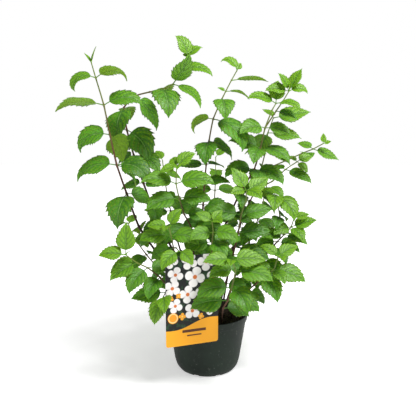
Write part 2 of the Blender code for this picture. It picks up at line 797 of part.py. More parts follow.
def leaf_lines(leaf, u):
    """Midrib places, sideways directions and normals at each u, from 0 at the stem to 1 at the tip."""
    root, bearing, length, rise_start, rise_end, roll = leaf
    roll, turn = np.radians((roll, bearing))
    steps = np.linspace(0, 1, MIDRIB_STEPS)
    climb = rise_at(rise_start, rise_end, (steps[1:] + steps[:-1]) / 2)
    along = np.concatenate([[0], np.cumsum(np.cos(climb))]) * length / (MIDRIB_STEPS - 1)
    up = np.concatenate([[0], np.cumsum(np.sin(climb))]) * length / (MIDRIB_STEPS - 1)
    along, up = np.interp(u, steps, along), np.interp(u, steps, up)
    midrib = root + np.stack([along * math.cos(turn), along * math.sin(turn), up], -1)
    _tangent, across, normal = leaf_axes(bearing, rise_at(rise_start, rise_end, u))
    sideways = across * math.cos(roll) + normal * math.sin(roll)
    return midrib, sideways, normal * math.cos(roll) - across * math.sin(roll)


def half_width(leaf, u):
    """Half the smooth width at u: a thin stalk, a rounded base, widest at a third, and a drawn-out tip."""
    t = np.clip((u - STALK_SHARE) / (1 - STALK_SHARE), 0, 1)
    blade = t**0.55 * (1 - t) ** 1.2 / 0.3365 * leaf[2] * LEAF_WIDTH_SHARE
    return np.where(u <= STALK_SHARE, STALK_HALF_WIDTH, np.maximum(STALK_HALF_WIDTH * (1 - t), blade))


def light_roll(leaf):
    """How far a blade turns about its midrib so that its upper face looks at the light, in degrees."""
    place = leaf[0]
    reach = math.hypot(place[0], place[1])
    outward = np.array((place[0], place[1], 0)) / reach if reach > 0.001 else np.array((0, -1, 0))
    light = outward * LIGHT_OUTWARD + np.array((0, -LIGHT_FRONT, LIGHT_UP))
    middle_rise = rise_at(leaf[3], leaf[4], 0.5)
    _tangent, across, normal = leaf_axes(leaf[1], middle_rise)
    wanted = math.degrees(math.atan2(light @ across, light @ normal[0]))
    return max(-MOST_ROLL, min(MOST_ROLL, -wanted))


def tooth_stations(length):
    """(u, share of the smooth width) down a plain blade's edge."""
    if length >= LARGE_LEAF:
        return ((0.27, 1.0), (0.48, 1.06), (0.53, 0.88), (0.78, 1.0))
    if length >= TOOTHED_LEAF:
        return ((0.29, 1.0), (0.56, 1.08), (0.62, 0.86))
    if length >= SPROUT:
        return ((0.30, 1.0), (0.62, 1.06))
    return ((0.42, 1.0),)


def zipped(edge, rib, side):
    """Triangles between two chains of (point, u), always stepping along the chain that is behind."""
    faces = []
    i = j = 0
    while edge[i][0] != edge[-1][0] or rib[j][0] != rib[-1][0]:
        step_edge = j == len(rib) - 1 or (i < len(edge) - 1 and edge[i + 1][1] <= rib[j + 1][1])
        if step_edge:
            face = (edge[i][0], rib[j][0], edge[i + 1][0])
            i += 1
        else:
            face = (edge[i][0], rib[j][0], rib[j + 1][0])
            j += 1
        if len(set(face)) == 3:
            faces.append(face if side > 0 else (face[0], face[2], face[1]))
    return faces


def plain_faces(teeth, ribs):
    """The triangles of a plain blade: its stalk, then each half between its edge and the midrib."""
    rib_at, tip = 4, 4 + len(ribs)
    faces = [(0, 1, 3), (0, 3, 2), (2, 3, rib_at)]
    rib_chain = [(rib_at + number, u) for number, u in enumerate(ribs)] + [(tip, 1.0)]
    for side, stalk_end, first in ((1, 2, tip + 1), (-1, 3, tip + 1 + len(teeth))):
        edge = [(first + number, u) for number, (u, _share) in enumerate(teeth)]
        faces += zipped([(stalk_end, STALK_SHARE), *edge, (tip, 1.0)], rib_chain, side)
    return np.array(faces)


def plain_blade(leaf, first_u, grow=1.0):
    """A plain blade's points and triangles. Each half rises by the fold and sinks by its arch."""
    teeth = tooth_stations(leaf[2])
    ribs = (0.42, 0.70) if leaf[2] >= LARGE_LEAF else (0.52,)
    edge_u = [u for u, _share in teeth]
    u = np.array([first_u, first_u, STALK_SHARE, STALK_SHARE, *ribs, 1.0, *edge_u, *edge_u])
    side = np.array([1, -1, 1, -1] + [0] * (len(ribs) + 1) + [1] * len(teeth) + [-1] * len(teeth))
    share = np.array([1.0] * (5 + len(ribs)) + [share * grow for _u, share in teeth] * 2)
    midrib, across, normal = leaf_lines(leaf, u)
    width = half_width(leaf, u) * share
    lift = np.where(u <= STALK_SHARE, 0, math.tan(LEAF_FOLD) * width - LEAF_ARCH * width**2) * np.abs(side)
    return midrib + across * (side * width)[:, None] + normal * lift[:, None], plain_faces(teeth, ribs)


def room_of(leaf):
    """The space that a blade needs: a shell a little larger and thicker, from just outside its cane."""
    points, faces = plain_blade(leaf, min(STALK_SHARE * 0.85, OFF_CANE / leaf[2]), ROOM_GROWTH)
    a, b, c = (points[faces[:, n]] for n in range(3))
    leans = np.zeros_like(points)
    for corner in range(3):
        np.add.at(leans, faces[:, corner], np.cross(b - a, c - a))
    offset = leans / np.linalg.norm(leans, axis=1)[:, None] * CLEAR_OF_LEAF
    count = len(points)
    edges = {(face[n], face[(n + 1) % 3]) for face in faces.tolist() for n in range(3)}
    rim = [(a, b, b + count, a + count) for a, b in edges if (b, a) not in edges]
    shell = np.concatenate([points + offset, points - offset])
    return shell, faces.tolist() + (faces[:, ::-1] + count).tolist() + rim


class Standing:
    """The pieces that already stand: a tree and a box for each."""

    def __init__(self):
        self.trees, self.lows, self.highs = [], [], []

    def add(self, points, faces):
        self.trees.append(BVHTree.FromPolygons(points.tolist(), faces))
        self.lows.append(points.min(0))
        self.highs.append(points.max(0))

    def is_crossed_by(self, points, faces):
        starts_before_end = np.array(self.lows) <= points.max(0)
        near = np.all(starts_before_end & (np.array(self.highs) >= points.min(0)), axis=1)
        if not near.any():
            return False
        tree = BVHTree.FromPolygons(points.tolist(), faces)
        return any(tree.overlap(self.trees[number]) for number in np.flatnonzero(near))


def tube_rings(places, radii, sides, first_turn=0.0):
    """Rings round a path: each lies square to the path's direction there, at its own radius."""
    ahead = np.gradient(places, axis=0)
    ahead /= np.linalg.norm(ahead, axis=1)[:, None]
    aside = np.cross(ahead, (0.31, 0.95, 0.0))
    aside /= np.linalg.norm(aside, axis=1)[:, None]
    over = np.cross(aside, ahead)
    turn = first_turn + np.arange(sides) / sides * math.tau
    ring = aside[:, None] * np.cos(turn)[None, :, None] + over[:, None] * np.sin(turn)[None, :, None]
    return places[:, None] + ring * np.asarray(radii)[:, None, None]


def bend_choices():
    """(turn, lift, size) changes to a leaf, the least first."""
    turns = (0, 12, -12, 24, -24, 38, -38, 54, -54)
    lifts = (0, 16, -16, 32, -32)
    sizes = (1.0, 0.84, 0.68)
    choices = [(turn, lift, size) for turn in turns for lift in lifts for size in sizes]
    return sorted(choices, key=lambda c: abs(c[0]) / 12 + abs(c[1]) / 14 + (1 - c[2]) * 14)


def free_leaf(place, planned, choices, standing):
    """The leaf nearest to the plan that crosses nothing, or None. A planned roll replaces the light's."""
    bearing, length, rise_start, rise_end, planned_roll, own_roll = planned
    for turn, lift, size in choices:
        leaf = (place, bearing + turn, length * size, rise_start + lift, rise_end + lift * 0.6, 0.0)
        roll = planned_roll[0] if planned_roll else light_roll(leaf)
        leaf = (*leaf[:5], roll + own_roll)
        if not standing.is_crossed_by(*room_of(leaf)):
            return leaf
    return None


def object_skin(obj):
    """The points and faces of an object as it stands, with its modifiers."""
    bpy.context.view_layer.update()
    mesh = applied(obj)
    mesh.transform(obj.matrix_world)
    points = np.array([vertex.co for vertex in mesh.vertices])
    faces = [tuple(polygon.vertices) for polygon in mesh.polygons]
    bpy.data.meshes.remove(mesh)
    return points, faces


def placed_leaves(solid_objects):
    """The leaves of every stem by its name, bent clear of these objects, the canes and their elders."""
    random.seed(SEED)
    standing = Standing()
    for obj in solid_objects:
        standing.add(*object_skin(obj))
    for stem in STEMS:
        for route, first, last in axes_of(stem):
            places = np.array([place for place, _leaves in route])
            radii = np.linspace(first, last, len(places)) + CLEAR_OF_STEM
            points, quads, fans = closed_skin(tube_rings(places, radii, ROOM_SIDES))
            standing.add(points, quads.tolist() + fans.tolist())
    choices = bend_choices()
    found = {stem[0]: [] for stem in STEMS}
    for stem in STEMS:
        for route, _first, _last in axes_of(stem):
            for place, leaves in route:
                for bearing, length, rise_start, rise_end, *roll in leaves:
                    bearing += random.uniform(-TURN_DRAW, TURN_DRAW)
                    length *= random.uniform(*LENGTH_DRAW)
                    own_roll = random.uniform(-ROLL_DRAW, ROLL_DRAW)
                    planned = (bearing, length, rise_start, rise_end, roll, own_roll)
                    leaf = free_leaf(place, planned, choices, standing)
                    if leaf:
                        found[stem[0]].append(leaf)
                        points, faces = plain_blade(leaf, BARE_SHARE)
                        standing.add(points, faces.tolist())
    return found


def make_stem(stem, leaves, parts, helpers, finish):
    """A leafy stem as one body: the cane, its sprays and its leaves, joined by one union."""
    name = stem[0]
    pieces = []
    for number, (route, first, last) in enumerate(axes_of(stem)):
        places = [place for place, _leaves in route]
        pieces.append(tube(f"{name}_axis_{number}", places, first, last, helpers))
    for number, leaf in enumerate(leaves):
        points, faces = plain_blade(leaf, 0.0)
        blade = mesh_object(f"{name}_leaf_{number}", points.tolist(), faces.tolist(), helpers)
        shell = blade.modifiers.new("thickness", "SOLIDIFY")
        shell.thickness = BLADE
        shell.offset = 0
        pieces.append(blade)
    cane = pieces[0]
    cane.name = name
    helpers.objects.unlink(cane)
    parts.objects.link(cane)
    join(cane, pieces[1:], finish)
    return cane


def triangles(obj):
    return sum(len(polygon.vertices) - 2 for polygon in obj.data.polygons)


def main():
    clear_scene()
    parts = new_collection("potted_mock_orange")
    cutters = new_collection("cutters")
    helpers = new_collection("helpers")
    pot = make_pot(parts, cutters, material("pot", POT_GREEN, 0.5))
    soil = make_soil(parts, cutters, material("soil", SOIL, 0.95))
    tag = make_tag(parts, helpers, material("tag", TAG, 0.35))
    leaves = placed_leaves((pot, soil, tag))
    total = 0
    for stem in STEMS:
        made = make_stem(stem, leaves[stem[0]], parts, helpers, material(stem[0], LEAF, 0.55))
        total += triangles(made)
        print(f"{made.name}: {len(leaves[stem[0]])} leaves, {triangles(made)} triangles")
    print(f"{sum(len(found) for found in leaves.values())} leaves, {total} triangles")


main()
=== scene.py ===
# %% [markdown]
# # A potted mock orange, dressed over its CAD frame
# The CAD model holds the plant's sizes: a nursery pot, its soil, a picture card and seventeen leafy stems.
# This lesson keeps those places and gives every piece its real surface: toothed and veined leaves, ringed
# canes, a moulded pot, crumbly soil and a printed card.

# %% Load the frame
import math
import random

import bpy
import numpy as np
from mathutils.bvhtree import BVHTree
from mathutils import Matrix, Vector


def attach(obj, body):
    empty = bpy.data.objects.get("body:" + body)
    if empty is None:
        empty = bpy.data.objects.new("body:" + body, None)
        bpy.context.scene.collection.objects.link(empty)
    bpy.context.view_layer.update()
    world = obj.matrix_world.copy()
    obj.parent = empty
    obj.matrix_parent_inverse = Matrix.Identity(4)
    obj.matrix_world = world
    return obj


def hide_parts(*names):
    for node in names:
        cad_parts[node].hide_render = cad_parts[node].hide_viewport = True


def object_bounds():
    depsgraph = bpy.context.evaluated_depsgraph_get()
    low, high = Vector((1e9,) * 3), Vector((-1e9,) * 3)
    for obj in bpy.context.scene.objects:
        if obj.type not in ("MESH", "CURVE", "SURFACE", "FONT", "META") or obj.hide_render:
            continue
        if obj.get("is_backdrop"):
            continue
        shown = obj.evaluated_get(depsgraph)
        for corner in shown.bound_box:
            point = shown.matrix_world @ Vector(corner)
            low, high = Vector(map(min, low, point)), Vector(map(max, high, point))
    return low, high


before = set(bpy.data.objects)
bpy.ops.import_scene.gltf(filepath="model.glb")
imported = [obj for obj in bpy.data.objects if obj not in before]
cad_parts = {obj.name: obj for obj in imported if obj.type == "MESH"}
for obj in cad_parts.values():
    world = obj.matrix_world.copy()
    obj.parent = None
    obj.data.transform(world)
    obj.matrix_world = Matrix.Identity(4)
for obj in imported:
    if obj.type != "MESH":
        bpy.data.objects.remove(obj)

bpy.context.view_layer.update()
CAD_BOX = [list(corner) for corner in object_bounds()]
print("CAD box:", CAD_BOX)

# %% [markdown]
# ## The camera
# The photo was taken from a little above the pot's rim, looking slightly down, with a long lens. The rim's
# ellipse gives the height of the eye, and the plant's height in the picture gives the focal length. The
# focal length is kept in pixels of a square frame and turned into millimetres for Blender's sensor.

# %% Camera at the photo's angle
FRAME_PIXELS = 416
FOCAL_PIXELS = 541
SENSOR = 36
EYE = (0, -1.2, 0.56)
LOOK_DOWN = math.radians(8.9)

camera_data = bpy.data.cameras.new("photo_camera")
camera_data.lens = FOCAL_PIXELS * SENSOR / FRAME_PIXELS
camera_data.sensor_width = SENSOR
camera_data.shift_x = 0.002
camera = bpy.data.objects.new("photo_camera", camera_data)
camera.location = EYE
camera.rotation_euler = (math.pi / 2 - LOOK_DOWN, 0, 0)
bpy.context.scene.collection.objects.link(camera)
bpy.context.scene.camera = camera
print(f"lens {camera_data.lens:.1f} mm")

# %% [markdown]
# ## Small helpers
# Every finish starts from one Principled shader, and every piece is a mesh at the origin whose places are
# in its points. A closed skin is built as a stack of rings, each ring a row of an array, so faces come from
# index arithmetic and no loop runs over points.

# %% Helpers for meshes
def ring_faces(rows, columns):
    """Quads between neighbouring rings: corner (row, column) joins the next column and the next row."""
    row, column = np.mgrid[0 : rows - 1, 0:columns]
    after = (column + 1) % columns
    here, below = row * columns, (row + 1) * columns
    return np.stack([here + column, here + after, below + after, below + column], -1).reshape(-1, 4)


def closed_skin(rings):
    """A stack of rings (rows, columns, 3) with a fan over each end: points, quads and end triangles."""
    rows, columns = rings.shape[:2]
    points = np.concatenate([rings.reshape(-1, 3), rings[0].mean(0)[None], rings[-1].mean(0)[None]])
    first, last = rows * columns, rows * columns + 1
    column = np.arange(columns)
    after = (column + 1) % columns
    start = np.stack([np.full(columns, first), after, column], -1)
    end = np.stack([np.full(columns, last), (rows - 1) * columns + column, (rows - 1) * columns + after], -1)
    return points, ring_faces(rows, columns), np.concatenate([start, end])


def faces_out(points, quads, triangles):
    """The same faces, turned round if the volume that they enclose comes out negative."""
    fans = np.concatenate([quads[:, :3], quads[:, [0, 2, 3]], triangles])
    a, b, c = points[fans[:, 0]], points[fans[:, 1]], points[fans[:, 2]]
    if np.einsum("ij,ij->i", a, np.cross(b, c)).sum() < 0:
        return quads[:, ::-1], triangles[:, ::-1]
    return quads, triangles


class Skins:
    """Gathers closed skins, with named values for every point, until they become one mesh."""

    def __init__(self):
        self.points, self.faces, self.values, self.count = [], [], {}, 0

    def add(self, rings, **values):
        """Takes in one closed skin. Each value is spread over its rings. A fan's middle has their mean."""
        points, quads, triangles = closed_skin(rings)
        quads, triangles = faces_out(points, quads, triangles)
        self.faces += (quads + self.count).tolist() + (triangles + self.count).tolist()
        self.points.append(points)
        self.count += len(points)
        for name, value in values.items():
            flat = np.broadcast_to(value, rings.shape[:2]).reshape(-1)
            ends = (np.broadcast_to(value, rings.shape[:2])[row].mean() for row in (0, -1))
            self.values.setdefault(name, []).append(np.concatenate([flat, list(ends)]))

    def piece(self, name, finish, node, crease=None):
        """One smooth mesh of all the skins in place of a CAD node, sharp at edges past the crease angle."""
        mesh = bpy.data.meshes.new(name)
        mesh.from_pydata(np.concatenate(self.points), [], self.faces)
        mesh.shade_smooth()
        if crease:
            mesh.set_sharp_from_angle(angle=crease)
        for key, parts in self.values.items():
            value = np.concatenate(parts).astype(np.float32)
            mesh.attributes.new(key, "FLOAT", "POINT").data.foreach_set("value", value)
        mesh.materials.append(finish)
        obj = bpy.data.objects.new(name, mesh)
        bpy.context.scene.collection.objects.link(obj)
        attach(obj, "root")
        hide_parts(node)
        print(f"{name}: {sum(len(face) - 2 for face in self.faces)} triangles")
        return obj


def outward_and_aside(turn):
    """The level direction at a turn about Z, and the level direction square to it."""
    return np.array((math.cos(turn), math.sin(turn), 0)), np.array((-math.sin(turn), math.cos(turn), 0))


print("mesh helpers are ready")

# %% [markdown]
# ## Helpers for finishes
# A material is a small graph. One function makes a Principled material with its constant values, and a few
# one-line helpers wire maths, mixes and noise, so that each finish below reads like a recipe.

# %% Helpers for node graphs
def new_finish(name, **constants):
    """A Principled material, its tree and its shader, with constant values on the shader's own sockets."""
    made = bpy.data.materials.new(name)
    made.use_nodes = True
    shader = made.node_tree.nodes["Principled BSDF"]
    for key, value in constants.items():
        shader.inputs[key.replace("_", " ")].default_value = value
    return made, made.node_tree, shader


def feed(tree, socket, value):
    """Links an output to a socket, or sets the socket to a plain value."""
    if isinstance(value, bpy.types.NodeSocket):
        tree.links.new(value, socket)
    else:
        socket.default_value = value


def maths(tree, operation, *values, clamp=False):
    """The output of one Math node."""
    node = tree.nodes.new("ShaderNodeMath")
    node.operation = operation
    node.use_clamp = clamp
    for socket, value in zip(node.inputs, values):
        feed(tree, socket, value)
    return node.outputs[0]


def ramp(tree, value, low, high, to_low=0.0, to_high=1.0):
    """A smooth step: to_low below low, to_high above high."""
    node = tree.nodes.new("ShaderNodeMapRange")
    node.interpolation_type = "SMOOTHSTEP"
    for socket, number in zip(node.inputs, (value, low, high, to_low, to_high)):
        feed(tree, socket, number)
    return node.outputs[0]


def blend(tree, share, first, second):
    """The first colour where the share is 0 and the second where it is 1."""
    node = tree.nodes.new("ShaderNodeMix")
    node.data_type = "RGBA"
    for socket, value in zip((node.inputs[0], node.inputs[6], node.inputs[7]), (share, first, second)):
        feed(tree, socket, value)
    return node.outputs[2]


def noise(tree, vector, scale, detail=3.0, roughness=0.55):
    """Cloudy noise from 0 to 1, with about this many clouds a metre."""
    node = tree.nodes.new("ShaderNodeTexNoise")
    for key, value in (("Vector", vector), ("Scale", scale), ("Detail", detail), ("Roughness", roughness)):
        feed(tree, node.inputs[key], value)
    return node.outputs[0]


def object_place(tree):
    """Each point's place in metres, as the pieces' objects all stand at the origin."""
    return tree.nodes.new("ShaderNodeTexCoord").outputs["Object"]


def attribute(tree, name):
    """A value that the mesh carries at its points."""
    node = tree.nodes.new("ShaderNodeAttribute")
    node.attribute_name = name
    return node.outputs["Fac"]


def bump(tree, shader, height, strength, distance):
    """Tilts the shading by a height, which the distance in metres scales."""
    node = tree.nodes.new("ShaderNodeBump")
    feed(tree, node.inputs["Height"], height)
    node.inputs["Strength"].default_value = strength
    node.inputs["Distance"].default_value = distance
    tree.links.new(node.outputs[0], shader.inputs["Normal"])


def colour(red, green, blue):
    """A screen colour in 0 to 255, as the linear values that Blender's sockets hold."""
    share = np.array((red, green, blue)) / 255
    linear = np.where(share <= 0.04045, share / 12.92, ((share + 0.055) / 1.055) ** 2.4)
    return (*linear.tolist(), 1.0)


print("node helpers are ready")

# %% [markdown]
# ## How the shrub grows
# A mock orange has opposite leaves: two at each joint of the shoot, the next pair often crosswise. The
# frame was grown from the same list, so the fine leaves below stand exactly where the plain ones are. Each
# stem is a chain of joints, from the soil up, and each joint lists its leaves.

# %% The growth plan
SEED = 11
NO_LEAVES = ()


def frontness(bearing):
    """1 for a leaf that points at the front, 0 for one that points sideways, up to 0.5 at the back."""
    toward_front = -math.sin(math.radians(bearing))
    return toward_front if toward_front > 0 else -0.5 * toward_front


def pair(bearing, first, second):
    """Two opposite leaves, the first on this bearing in degrees. They droop more towards the front."""
    return tuple(
        (turn, length, 16 - 18 * frontness(turn), -66 - 30 * frontness(turn))
        for turn, length in ((bearing, first), (bearing + 180, second))
    )


# A stem is (name, foot radius, foot (x, y), joints, sprays). A joint is (x, y, z, leaves), and a leaf is
# (bearing, length, rise at its stalk, rise at its tip), with bearing 0 to the right, 90 to the back and
# -90 to the front, all in degrees. A spray is (number of the joint that it leaves, its own joints).
STEMS = (
    ("stem_left", 0.0030, (-0.034, -0.018), (
        (-0.092, -0.028, 0.245, ((110, 0.055, 10, -50),)),
        (-0.149, -0.035, 0.335, ((-24, 0.080, 8, -96), (100, 0.066, 0, -72))),
        (-0.173, -0.045, 0.410, ((-104, 0.104, -12, -106, 8), (34, 0.068, 0, -84))),
        (-0.192, -0.050, 0.472, ((184, 0.098, 12, -78), (-24, 0.092, 14, -92), (40, 0.080, -16, -98))),
        (-0.204, -0.055, 0.536, ((188, 0.088, 14, -104), (72, 0.088, -40, -100))),
        (-0.214, -0.060, 0.597, ((178, 0.106, 16, -44, 14), (6, 0.092, 34, -60))),
        (-0.229, -0.060, 0.652, ((195, 0.066, 22, -125), (-8, 0.080, 38, -78, -14))),
        (-0.237, -0.060, 0.682, ((160, 0.028, 55, 45, 0), (20, 0.034, 78, 64, 0))),
    ), ()),
    ("stem_arching", 0.0030, (-0.014, 0.014), (
        (-0.045, 0.012, 0.205, NO_LEAVES),
        (-0.076, 0.010, 0.268, pair(120, 0.062, 0.057)),
        (-0.102, 0.020, 0.315, pair(15, 0.064, 0.066)),
        (-0.125, 0.030, 0.367, pair(105, 0.066, 0.062)),
        (-0.147, 0.040, 0.424, ((172, 0.062, 30, -24), (-12, 0.040, 0, -30))),
        (-0.168, 0.045, 0.486, ((-22, 0.080, 0, -80), (150, 0.057, 0, -70))),
        (-0.183, 0.045, 0.545, ((-38, 0.108, -16, -92), (140, 0.066, 5, -80))),
        (-0.188, 0.038, 0.594, ((-96, 0.104, -22, -106, 8), (80, 0.066, 5, -80))),
        (-0.160, 0.026, 0.620, ((28, 0.096, -38, -88),)),
        (-0.126, 0.014, 0.628, NO_LEAVES),
        (-0.098, 0.000, 0.633, ((-72, 0.102, -8, -104, 6), (84, 0.066, 20, -70))),
        (-0.074, -0.008, 0.643, ((-14, 0.086, -12, -84, 16), (-46, 0.080, 40, 66, 165))),
        (-0.054, 0.006, 0.676, ((-12, 0.074, 16, -58),)),
        (-0.042, 0.010, 0.700, ((168, 0.056, 84, 20), (20, 0.046, 60, -10), (100, 0.030, 70, 40))),
    ), ()),
    ("stem_centre", 0.0026, (0.000, -0.004), (
        (-0.013, 0.000, 0.285, pair(115, 0.057, 0.053)),
        (-0.013, 0.000, 0.308, pair(40, 0.060, 0.058)),
        (-0.013, 0.000, 0.334, pair(-30, 0.064, 0.062)),
        (-0.009, 0.000, 0.379, ((172, 0.068, 8, -40), (-18, 0.070, 8, -46))),
        (-0.006, 0.004, 0.426, ((4, 0.062, 40, -24), (180, 0.037, 10, -30))),
        (-0.002, 0.004, 0.470, ((182, 0.064, 2, -16), (35, 0.055, 5, -40))),
        (0.004, 0.000, 0.521, ((-94, 0.086, -6, -104, -4), (22, 0.073, -10, -80))),
        (0.013, -0.005, 0.569, ((185, 0.066, 14, -124, 24), (-26, 0.106, -8, -104))),
        (0.032, -0.010, 0.612, ((-84, 0.074, -6, -104, -8),)),
        (0.040, -0.010, 0.628, ((0, 0.055, 20, -44, -10), (176, 0.020, 30, 10))),
        (0.052, -0.010, 0.651, ((0, 0.078, 8, -16, -6),)),
        (0.064, -0.010, 0.672, ((168, 0.046, 72, -44), (55, 0.024, 64, 50))),
    ), ()),
    ("stem_right", 0.0034, (0.017, 0.018), (
        (0.020, 0.020, 0.271, pair(15, 0.057, 0.055)),
        (0.028, 0.020, 0.293, pair(100, 0.060, 0.056)),
        (0.036, 0.020, 0.318, pair(-62, 0.062, 0.059)),
        (0.052, 0.020, 0.353, pair(178, 0.062, 0.066)),
        (0.074, 0.015, 0.404, pair(-88, 0.057, 0.055)),
        (0.105, 0.010, 0.457, ((190, 0.078, 20, -70), (-14, 0.080, 4, -74), (-84, 0.066, 0, -96))),
        (0.117, 0.000, 0.504, ((170, 0.076, 34, -20), (-110, 0.066, 4, -84), (-26, 0.076, 4, -70))),
        (0.126, -0.010, 0.550, ((190, 0.072, 14, -52), (4, 0.066, 4, -54))),
        (0.140, -0.015, 0.588, NO_LEAVES),
        (0.148, -0.015, 0.602, ((174, 0.068, 34, -30), (70, 0.058, 76, 40), (-14, 0.060, 12, -58))),
    ),
    (
        (
            8,
            (
                (0.149, -0.012, 0.586, ((-24, 0.051, -8, -42),)),
                (0.164, -0.011, 0.608, NO_LEAVES),
                (
                    0.176,
                    -0.010,
                    0.628,
                    (
                        (182, 0.056, 20, -30),
                        (0, 0.048, 30, -66),
                        (28, 0.062, 62, 48, 24),
                        (150, 0.046, 70, 40),
                        (-80, 0.030, 70, 60),
                    ),
                ),
            ),
        ),
    ),
    ),
    ("stem_right_back", 0.0024, (0.036, 0.026), (
        (0.060, 0.040, 0.270, ((70, 0.057, 10, -50),)),
        (0.076, 0.045, 0.320, pair(-40, 0.066, 0.062)),
        (0.093, 0.050, 0.366, pair(50, 0.064, 0.059)),
        (0.114, 0.055, 0.408, pair(-20, 0.059, 0.055)),
        (0.125, 0.060, 0.452, pair(65, 0.066, 0.059)),
        (0.136, 0.060, 0.499, ((-4, 0.066, -12, -62), (152, 0.057, 6, -40))),
        (0.140, 0.060, 0.538, ((-6, 0.078, 0, -24), (-118, 0.066, -28, -82))),
        (0.152, 0.058, 0.572, ((-4, 0.086, 12, 4), (120, 0.048, 40, 0))),
    ),
    (
        (
            5,
            (
                (0.150, 0.045, 0.462, NO_LEAVES),
                (0.182, 0.028, 0.478, ((100, 0.037, 20, -20),)),
                (0.212, 0.010, 0.494, ((-62, 0.051, 8, -26),)),
                (0.234, 0.000, 0.504, ((150, 0.040, 28, 0), (-6, 0.064, -4, -18))),
                (0.254, -0.008, 0.516, ((80, 0.024, 84, 80), (-5, 0.018, 20, 10))),
            ),
        ),
        (
            4,
            (
                (0.150, 0.040, 0.428, NO_LEAVES),
                (0.178, 0.030, 0.456, ((-16, 0.066, -12, -46), (130, 0.037, 20, -10))),
                (
                    0.204,
                    0.028,
                    0.474,
                    (
                        (14, 0.044, 30, -4),
                        (-42, 0.037, -30, -60),
                        (150, 0.026, 40, 10),
                    ),
                ),
            ),
        ),
    ),
    ),
    ("stem_front_left", 0.0022, (-0.018, -0.036), (
        (-0.028, -0.052, 0.260, NO_LEAVES),
        (-0.035, -0.060, 0.340, ((-28, 0.062, 12, -54), (200, 0.068, 14, -62))),
        (-0.049, -0.065, 0.369, ((15, 0.060, 4, -42), (120, 0.052, 5, -40))),
        (-0.059, -0.070, 0.404, ((200, 0.080, 4, -50), (150, 0.060, 0, -46), (-10, 0.074, 12, -30))),
        (-0.065, -0.075, 0.435, ((183, 0.074, 26, -32), (-3, 0.086, 22, -36))),
        (
            -0.063,
            -0.080,
            0.470,
            (
                (20, 0.050, 52, 4),
                (-84, 0.046, 28, -50),
                (186, 0.036, -4, -32),
                (105, 0.044, 40, 0),
            ),
        ),
    ), ()),
    ("stem_front_left_low", 0.0021, (-0.042, -0.040), (
        (-0.062, -0.062, 0.215, ((172, 0.054, 10, -50),)),
        (-0.066, -0.086, 0.272, ((190, 0.058, -2, -60), (80, 0.050, 2, -50))),
        (-0.070, -0.102, 0.304, ((176, 0.060, -10, -64),)),
        (-0.074, -0.112, 0.332, ((183, 0.070, 10, -40), (-18, 0.070, 16, -66))),
        (-0.078, -0.116, 0.352, ((30, 0.046, 62, 26), (176, 0.046, 12, -18), (-100, 0.036, 20, -50))),
    ),
    (
        (
            3,
            (
                (-0.064, -0.118, 0.308, NO_LEAVES),
                (-0.057, -0.138, 0.306, ((212, 0.056, -16, -78), (-40, 0.046, -10, -80))),
            ),
        ),
    ),
    ),
    ("stem_front_centre", 0.0021, (0.000, -0.064), (
        (0.006, -0.084, 0.200, NO_LEAVES),
        (0.010, -0.091, 0.284, ((20, 0.056, 10, -50),)),
        (0.010, -0.118, 0.320, ((-64, 0.066, 2, -84), (186, 0.062, 2, -56), (30, 0.050, 20, -30))),
        (0.012, -0.128, 0.342, ((-18, 0.060, 14, -60), (204, 0.054, 12, -52))),
        (0.010, -0.130, 0.364, ((170, 0.038, 40, 0), (-60, 0.040, 30, -40), (40, 0.036, 50, 20))),
    ), ()),
    ("stem_low_left", 0.0022, (-0.058, -0.044), (
        (-0.076, -0.084, 0.205, NO_LEAVES),
        (-0.097, -0.118, 0.245, ((-128, 0.064, 0, -92), (60, 0.050, 10, -50))),
        (-0.121, -0.130, 0.269, ((-148, 0.068, 2, -72), (40, 0.052, 10, -30))),
        (-0.141, -0.140, 0.282, ((188, 0.062, 12, -40), (206, 0.066, -46, -68))),
        (-0.162, -0.150, 0.301, ((96, 0.064, 80, 74), (186, 0.057, 14, -28), (-80, 0.034, 30, -20))),
    ),
    (
        (
            1,
            (
                (-0.086, -0.112, 0.212, ((184, 0.078, -2, -24),)),
                (-0.090, -0.130, 0.208, ((-62, 0.055, 12, -86), (-128, 0.062, -44, -90))),
            ),
        ),
    ),
    ),
    ("stem_front_right", 0.0024, (0.020, -0.042), (
        (0.040, -0.062, 0.215, ((-30, 0.055, 10, -50),)),
        (0.055, -0.078, 0.283, ((-10, 0.078, 12, -32), (176, 0.066, 6, -74), (-92, 0.057, 10, -60))),
        (0.065, -0.090, 0.333, ((0, 0.068, 12, -12), (-122, 0.062, 2, -54), (176, 0.057, 10, -50))),
        (0.070, -0.098, 0.373, ((180, 0.071, 16, -12), (0, 0.066, 16, -2))),
        (0.080, -0.100, 0.404, NO_LEAVES),
        (
            0.080,
            -0.100,
            0.424,
            (
                (152, 0.057, 62, 36),
                (22, 0.055, 22, 34),
                (-52, 0.048, 4, -52),
                (215, 0.039, 10, -40),
            ),
        ),
    ), ()),
    ("stem_low_front", 0.0022, (0.032, -0.058), (
        (0.034, -0.098, 0.172, ((20, 0.068, 0, -60),)),
        (0.042, -0.132, 0.200, ((174, 0.082, 6, -42), (8, 0.073, 2, -60))),
        (0.049, -0.150, 0.232, ((192, 0.075, 16, -60), (-66, 0.076, 2, -86))),
        (0.056, -0.162, 0.272, ((190, 0.057, 12, -56), (-16, 0.078, 8, -42))),
        (0.048, -0.166, 0.294, ((2, 0.071, 12, -24), (182, 0.062, 14, -24), (-96, 0.034, 20, -50))),
    ), ()),
    ("stem_low_right", 0.0022, (0.056, -0.026), (
        (0.092, -0.046, 0.196, ((-72, 0.062, 4, -86), (150, 0.050, 10, -30), (12, 0.056, -26, -76))),
        (0.106, -0.055, 0.212, ((10, 0.064, 6, -50), (190, 0.058, 6, -60))),
        (0.120, -0.065, 0.230, ((-42, 0.070, -8, -88), (100, 0.052, 10, -50), (4, 0.051, 10, -30))),
